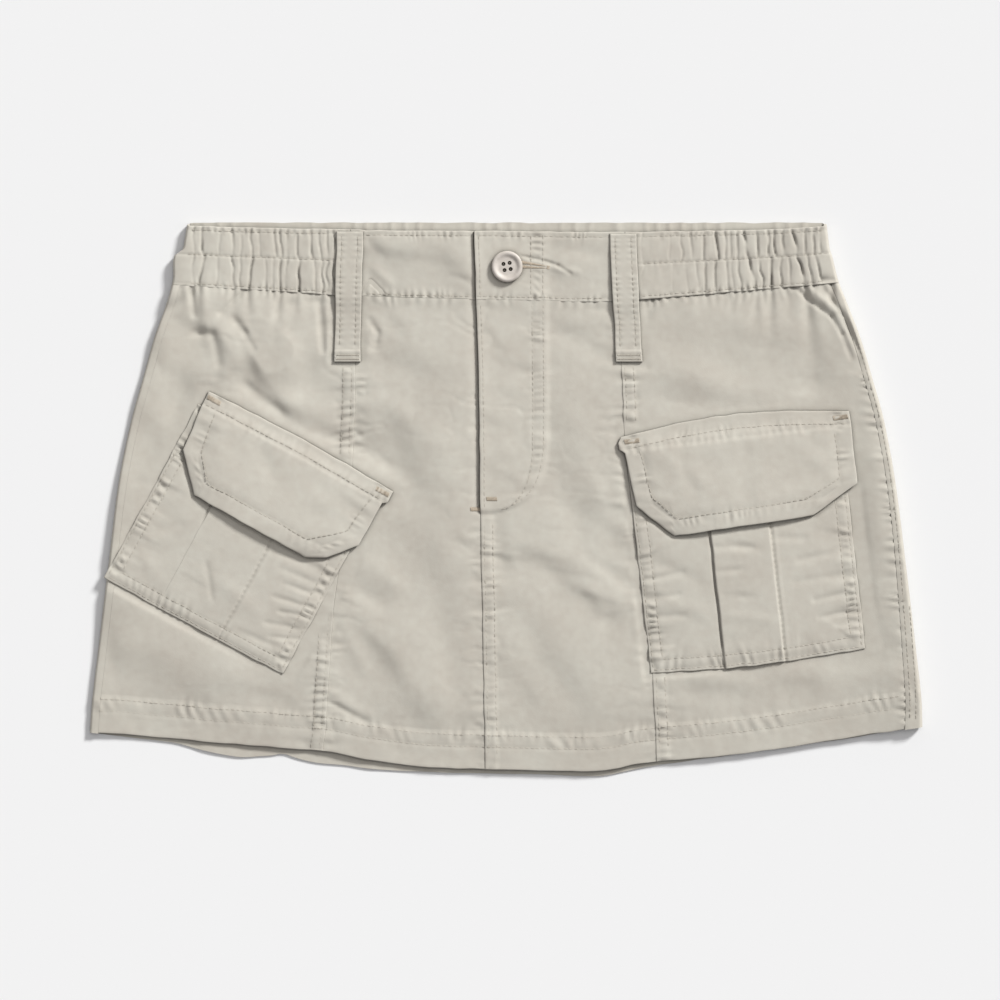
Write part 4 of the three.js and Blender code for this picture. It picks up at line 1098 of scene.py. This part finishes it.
def pocket_flap(pocket):
    left_foot, right_foot = pocket["flap_left"][-1][1], pocket["flap_right"][-1][1]
    width, tall = pocket["width"], left_foot
    share, row = np.meshgrid(spread(width, POCKET_STEP), spread(tall, POCKET_STEP))
    left = side_of(pocket["flap_left"], row * left_foot)
    right = side_of(pocket["flap_right"], row * right_foot)
    u = mix(left, right, share)
    v = row * mix(left_foot, right_foot, share) - pocket["arch"] * np.sin(np.pi * share) * (1 - row)
    x, y = from_pocket(pocket, u, v)
    laid_piece(f"pocket_{pocket['side']}_flap", x, y, bag_seat(x, y) + flap_height(pocket, u, v, share),
               bag_seat(x, y) + flap_under(pocket, v, share), share, row, width, tall)


for pocket in POCKETS.values():
    pocket_bag(pocket)
    pocket_flap(pocket)


# Stitching: short raised stitches in rows, joined into one mesh for each piece they lie on
STITCH_PITCH = 3.1
STITCH_LENGTH = 2.3
STITCH_THICK = 0.30
STITCH_JITTER = 0.12
SPINDLE_RINGS = (
    # share of its length, share of its thickness, how far it sinks
    (0.0, 0.45, -0.2), (0.2, 0.95, 0.0), (0.8, 0.95, 0.0), (1.0, 0.45, -0.2),
)
SPINDLE_QUADS = np.array(
    [(k + n, k + (n + 1) % 6, k + 6 + (n + 1) % 6, k + 6 + n) for k in (0, 6, 12) for n in range(6)]
    + [(0, 5, 4, 3), (0, 3, 2, 1), (18, 19, 20, 21), (18, 21, 22, 23)])


class Stitches:
    """Collects stitches as small six-sided spindles, and joins them into one mesh."""

    def __init__(self):
        self.points, self.quads = [], []

    def add(self, start, end, thick):
        start, end = np.asarray(start, float), np.asarray(end, float)
        axis = end - start
        length = np.linalg.norm(axis)
        if length < 0.2:
            return
        axis /= length
        side = np.cross(axis, (0, 0, 1))
        side /= max(np.linalg.norm(side), 1e-6)
        up = np.cross(side, axis)
        angles = np.arange(6)[:, None] * math.pi / 3
        around = np.cos(angles) * side + np.sin(angles) * up
        self.quads.append(SPINDLE_QUADS + 24 * len(self.points))
        self.points.append(np.concatenate([
            start + axis * length * share + up * sink * thick + fat * thick / 2 * around
            for share, fat, sink in SPINDLE_RINGS]))

    def row(self, line, height, pitch=STITCH_PITCH):
        """Stitches along a line of (x, y) points, laid at the height that height(x, y) gives."""
        far = np.concatenate([[0], np.cumsum(np.hypot(*np.diff(line, axis=0).T))])
        starts = np.arange(0.3, far[-1] - STITCH_LENGTH, pitch)
        starts = starts + rng.uniform(-STITCH_JITTER, STITCH_JITTER, len(starts)) * pitch
        at = lambda s: (np.interp(s, far, line[:, 0]), np.interp(s, far, line[:, 1]))
        (x0, y0), (x1, y1) = at(starts), at(starts + STITCH_LENGTH)
        z0, z1 = height(x0, y0), height(x1, y1)
        lift = np.maximum(0, height((x0 + x1) / 2, (y0 + y1) / 2) - (z0 + z1) / 2)
        for ends in zip(x0, y0, z0 + lift, x1, y1, z1 + lift):
            self.add(ends[:3], ends[3:], STITCH_THICK)

    def bar(self, a, b, height, lift, thick):
        """One stitch between two (x, y) points."""
        za, zb = (float(height(np.array(p[0]), np.array(p[1]))) + lift for p in (a, b))
        self.add((*a, za), (*b, zb), thick)

    def piece(self, name, material):
        finish_piece(mesh_object(name, np.concatenate(self.points), np.concatenate(self.quads), material))


def raised(height, lift):
    return lambda x, y: height(x, y) + lift


def down_line(place, off, y0, y1):
    y = np.arange(y0, y1, -1.0)
    return np.stack([place(y) + off, y], -1)


def across_line(place, x0, x1, step=1.0):
    x = np.arange(x0, x1, step)
    return np.stack([x, place(x)], -1)


def clear_of_pockets(line):
    """The runs of a line that no pocket or belt loop covers."""
    seen = open_cloth(line[:, 0], line[:, 1]) > 0
    changes = np.flatnonzero(seen[1:] != seen[:-1]) + 1
    runs = zip(np.split(line, changes), np.split(seen, changes))
    return [run for run, open_here in runs if open_here[0] and len(run) > 5]


def front_stitching():
    rows = Stitches()
    on_cloth = raised(cloth_top, 0.03)
    for place, off in ((princess_left, -2.2), (princess_left, -7.0), (princess_right, 2.2),
                       (princess_right, 7.0)):
        for run in clear_of_pockets(down_line(place, off, 76, -142)):
            rows.row(run, on_cloth)
    for off in (2.2, 7.0):
        rows.row(down_line(centre, off, -14, -146), on_cloth)
    for up in HEM_ROWS:
        rows.row(across_line(lambda x: hem(x) + up, -230, 224), on_cloth)
    # fly: edge stitching, and the two rows of the J
    rows.row(down_line(centre, 2.6, 110, -6), on_cloth, pitch=3.4)
    y = np.arange(110, -6.5, -0.5)
    for off in (-2.0, -8.2):
        line = np.stack([curve(FLY_EDGE, 1, y - (off + 2) * 0.55) + off, y], -1)
        rows.row(line[line[:, 0] > centre(line[:, 1]) + 3.0], on_cloth)
    for off, y0 in ((2.6, 96), (6.0, -60)):
        rows.row(down_line(side_right, off, y0, -126), raised(cloth_top, 0.2))
    rows.piece("stitching_front", thread)


def waistband_stitching():
    rows = Stitches()
    flat = lambda x, y: band_top(x, y, False) + 0.06
    for place, off in ((np.zeros_like, 14.1), (np.zeros_like, 20.9), (centre, 2.6)):
        rows.row(down_line(place, off, 149, 113), flat)
    for share in (0.07, 0.95):
        for x0, x1 in ((-178, -98), (-79, -19), (-16, 57), (77, 180)):
            rows.row(across_line(lambda x: mix(band_edge(x), waist(x), share), x0, x1, 0.5),
                     lambda x, y: band_top(x, y, (x[0] < -90) or (x[0] > 70)) + 0.06)
    for x0, x1 in ((-180, -97), (77, 182)):
        rows.row(across_line(lambda x: mix(band_edge(x), waist(x), STITCH_ROW), x0, x1, 0.5),
                 raised(band_top, 0.06), pitch=3.0)
    rows.piece("stitching_waistband", thread)


def loop_stitching():
    rows = Stitches()
    for loop in LOOPS.values():
        (x_top, y_top), (x_foot, y_foot) = loop["top"], loop["foot"]

        def on_loop(x, y):
            row = (y_top - y) / (y_top - y_foot)
            return loop_top(x, y, (x - mix(x_top, x_foot, row)) / LOOP_WIDTH + 0.5, row) + 0.06

        for off in LOOP_ROWS:
            line = loop_place(loop, off / LOOP_WIDTH, np.linspace(0.03, 0.90, 120))
            rows.row(np.stack(line, -1), on_loop)
        for row in LOOP_BARS:
            for share in np.arange(0.08, 0.92, 0.055):
                rows.bar(loop_place(loop, share, row), loop_place(loop, share + 0.04, row + 0.008),
                         on_loop, 0.12, 0.55)
    rows.piece("stitching_loops", thread)


def pocket_stitching():
    rows, bartacks = Stitches(), Stitches()
    for pocket in POCKETS.values():
        left, right = pocket["bag"]
        width = right - left

        def on_bag(x, y):
            u, v = to_pocket(pocket, x, y)
            return bag_seat(x, y) + bag_height(pocket, u, v, np.clip((u - left) / width, 0, 1)) + 0.06

        def on_flap(x, y):
            u, v = to_pocket(pocket, x, y)
            share = np.clip(u / pocket["width"], 0, 1)
            return bag_seat(x, y) + flap_height(pocket, u, v, share) + 0.06

        def row(u, v, height):
            rows.row(np.stack(from_pocket(pocket, u, v), -1), height)

        flap_deep = pocket["flap_left"][-1][1]
        for inset in POCKET_ROWS:
            v = np.arange(flap_deep * 0.72, pocket["foot"] - inset, 1.0)
            for u in (left + inset, right - inset):
                row(np.full_like(v, u), v, on_bag)
            u = np.arange(left + inset, right - inset, 1.0)
            row(u, bag_foot(pocket, (u - left) / width) - inset, on_bag)
        # flap: along its sewn strip, and inside its free edge
        u = np.arange(3.0, pocket["width"] - 3, 1.0)
        bow = pocket["arch"] * np.sin(np.pi * u / pocket["width"]) * (1 - FLAP_SEWN / flap_deep)
        row(u, FLAP_SEWN - bow, on_flap)
        (lu, _), (lu1, lv1), (lu2, lv2) = (pocket["flap_left"][k] for k in (0, -2, -1))
        ru1, rv1 = next(c for c in pocket["flap_right"] if c[1] > 30)
        (ru, _), (ru2, rv2) = pocket["flap_right"][0], pocket["flap_right"][-1]
        inner = np.array([
            (lu + FLAP_ROW, 9), (lu1 + FLAP_ROW, lv1 - 4), (lu2 + FLAP_ROW * 0.35, lv2 - FLAP_ROW),
            (ru2 - FLAP_ROW * 0.35, rv2 - FLAP_ROW), (ru1 - FLAP_ROW, rv1 - 4), (ru - FLAP_ROW, 9)])
        steps = np.concatenate([[0], np.cumsum(np.hypot(*np.diff(inner, axis=0).T))])
        s = np.arange(0, steps[-1], 1.0)
        row(np.interp(s, steps, inner[:, 0]), np.interp(s, steps, inner[:, 1]), on_flap)
        # bartacks at the flap's upper corners
        for u0 in (1.5, pocket["width"] - 9.5):
            for u in u0 + 0.6 * np.arange(14):
                bartacks.bar(from_pocket(pocket, u, 1.6), from_pocket(pocket, u + 0.5, 4.4),
                             on_flap, 0.1, 0.44)
    rows.piece("stitching_pockets", thread)
    # bartacks of the fly
    for x0, y0, step in ((-11.0, 0.2, 0.55), (-20.0, -5.6, 0.5)):
        for x in x0 + step * np.arange(11):
            bartacks.bar((x, y0 + 1.0), (x + 0.4, y0 - 1.4), cloth_top, 0.12, 0.5)
    bartacks.piece("bartacks", brown_thread)


front_stitching()
waistband_stitching()
loop_stitching()
pocket_stitching()


# Button, turned, with a rim, a dish and four holes, and the thread that sews it on
BUTTON = dict(x=0.6, y=131.1, hole=1.15, out=2.5, turn=0.17)
BUTTON_PROFILE = [
    # r, z
    (5.2, 0.0), (7.6, 0.1), (8.4, 0.7), (8.8, 1.4), (8.75, 2.0), (8.4, 2.5), (7.9, 2.8), (7.3, 2.85),
    (6.6, 2.6), (6.0, 2.15), (5.4, 1.85), (4.6, 1.72),
]


def button_seat():
    x, y = np.array(BUTTON["x"]), np.array(BUTTON["y"])
    return float(band_smooth(x, y)) + SKIN + FLY_RISE + 0.35


def button_holes():
    for quarter in range(4):
        angle = math.pi * (0.25 + quarter / 2) + BUTTON["turn"]
        yield BUTTON["out"] * math.cos(angle), BUTTON["out"] * math.sin(angle)


def button():
    """A turned outside, closed above and below by a disc with four round holes through it."""
    bm = bmesh.new()

    def ring(r, z, x=0.0, y=0.0, count=96):
        return [bm.verts.new((x + r * math.cos(t), y + r * math.sin(t), z))
                for t in np.arange(count) * 2 * math.pi / count]

    def wall(a, b):
        for n in range(len(a)):
            m = (n + 1) % len(a)
            bm.faces.new((a[n], a[m], b[m], b[n]))

    rings = [ring(r, z) for r, z in BUTTON_PROFILE]
    for a, b in zip(rings, rings[1:]):
        wall(a, b)
    holes = []
    for outside in (rings[0], rings[-1]):
        loops = [ring(BUTTON["hole"], outside[0].co.z, x, y, 20) for x, y in button_holes()]
        pairs = [pair for loop in [outside] + loops for pair in zip(loop, loop[1:] + loop[:1])]
        edges = [bm.edges.get(pair) or bm.edges.new(pair) for pair in pairs]
        bmesh.ops.triangle_fill(bm, use_beauty=True, edges=edges)
        holes.append(loops)
    for below, above in zip(*holes):
        wall(below, above)
    bmesh.ops.recalc_face_normals(bm, faces=bm.faces)
    bmesh.ops.scale(bm, vec=(MM, MM, MM), verts=bm.verts)
    bmesh.ops.translate(bm, vec=(BUTTON["x"] * MM, BUTTON["y"] * MM, button_seat() * MM), verts=bm.verts)
    mesh = bpy.data.meshes.new("button_disc")
    bm.to_mesh(mesh)
    bm.free()
    for polygon in mesh.polygons:
        polygon.use_smooth = len(polygon.vertices) == 4
    finish_piece(placed("button_disc", mesh, resin), "button", slot="button")


def sewn_on():
    """The thread through the button's holes."""
    rows, seat = Stitches(), button_seat()
    for x, y in button_holes():
        x, y = BUTTON["x"] + x, BUTTON["y"] + y
        for dx in (-0.3, 0.3):
            rows.add((x + dx, y, seat - 0.3), (x + dx * 0.5, y + 0.1, seat + 0.4), 0.5)
    rows.piece("button_thread", thread)


def buttonhole():
    """Close zigzag on both sides of the slit, with a bar at its end."""
    rows = Stitches()
    start, end = np.array((8.8, 132.3)), np.array((23.4, 130.8))
    length = np.linalg.norm(end - start)
    axis = (end - start) / length
    out = np.array((-axis[1], axis[0]))
    flat = lambda x, y: band_top(x, y, False)
    for n in np.arange(0, length, 0.5):
        for way in (1, -1):
            a = start + axis * n + out * way * 0.3
            rows.bar(a, start + axis * (n + 0.15) + out * way * mix(2.3, 0.7, n / length), flat, 0.08, 0.45)
    for n in np.arange(-0.8, 0.9, 0.4):
        rows.bar(end + out * n - axis * 0.6, end + out * n + axis * 1.6, flat, 0.18, 0.5)
    rows.piece("buttonhole", brown_thread)


button()
sewn_on()
buttonhole()


# Floor, light and camera
FLOOR_HALF = 3.0     # metres
FLOOR_Z = -0.0001


def floor():
    m = bpy.data.materials.new("floor_paper")
    m.use_nodes = True
    shader = m.node_tree.nodes["Principled BSDF"]
    shader.inputs["Base Color"].default_value = (0.832, 0.833, 0.826, 1)
    shader.inputs["Roughness"].default_value = 0.95
    shader.inputs["Specular IOR Level"].default_value = 0.1
    corners = [(x * FLOOR_HALF, y * FLOOR_HALF, FLOOR_Z) for x, y in ((-1, -1), (1, -1), (1, 1), (-1, 1))]
    mesh = bpy.data.meshes.new("floor")
    mesh.from_pydata(corners, [], [(0, 1, 2, 3)])
    placed("floor", mesh, m)


def sun(name, azimuth, elevation, strength, soft):
    """azimuth is where the light comes from, from +X towards +Y."""
    data = bpy.data.lights.new(name, "SUN")
    data.energy, data.angle = strength, math.radians(soft)
    placed(name, data).rotation_euler = (math.radians(90 - elevation), 0, math.radians(azimuth + 90))


floor()
sun("key", 46, 30, 3.75, 12)
sun("top", 60, 75, 0.55, 40)
world = bpy.data.worlds.new("studio")
world.use_nodes = True
world.node_tree.nodes["Background"].inputs[0].default_value = (0.975, 0.965, 1.0, 1)
world.node_tree.nodes["Background"].inputs[1].default_value = 0.31
bpy.context.scene.world = world
bpy.context.scene.view_settings.view_transform = "Standard"

PHOTO_WIDTH = 565.0   # millimetres across the picture, at the skirt's top
VIEW_CENTRE = (-3.4, -0.6)
CAMERA_HIGH = 2300.0
camera_data = bpy.data.cameras.new("camera")
camera_data.sensor_width = 36.0
camera_data.lens = camera_data.sensor_width * (CAMERA_HIGH - LAYER) / PHOTO_WIDTH
camera_data.clip_end = 20
camera = placed("camera", camera_data)
camera.location = (VIEW_CENTRE[0] * MM, VIEW_CENTRE[1] * MM, CAMERA_HIGH * MM)
bpy.context.scene.camera = camera
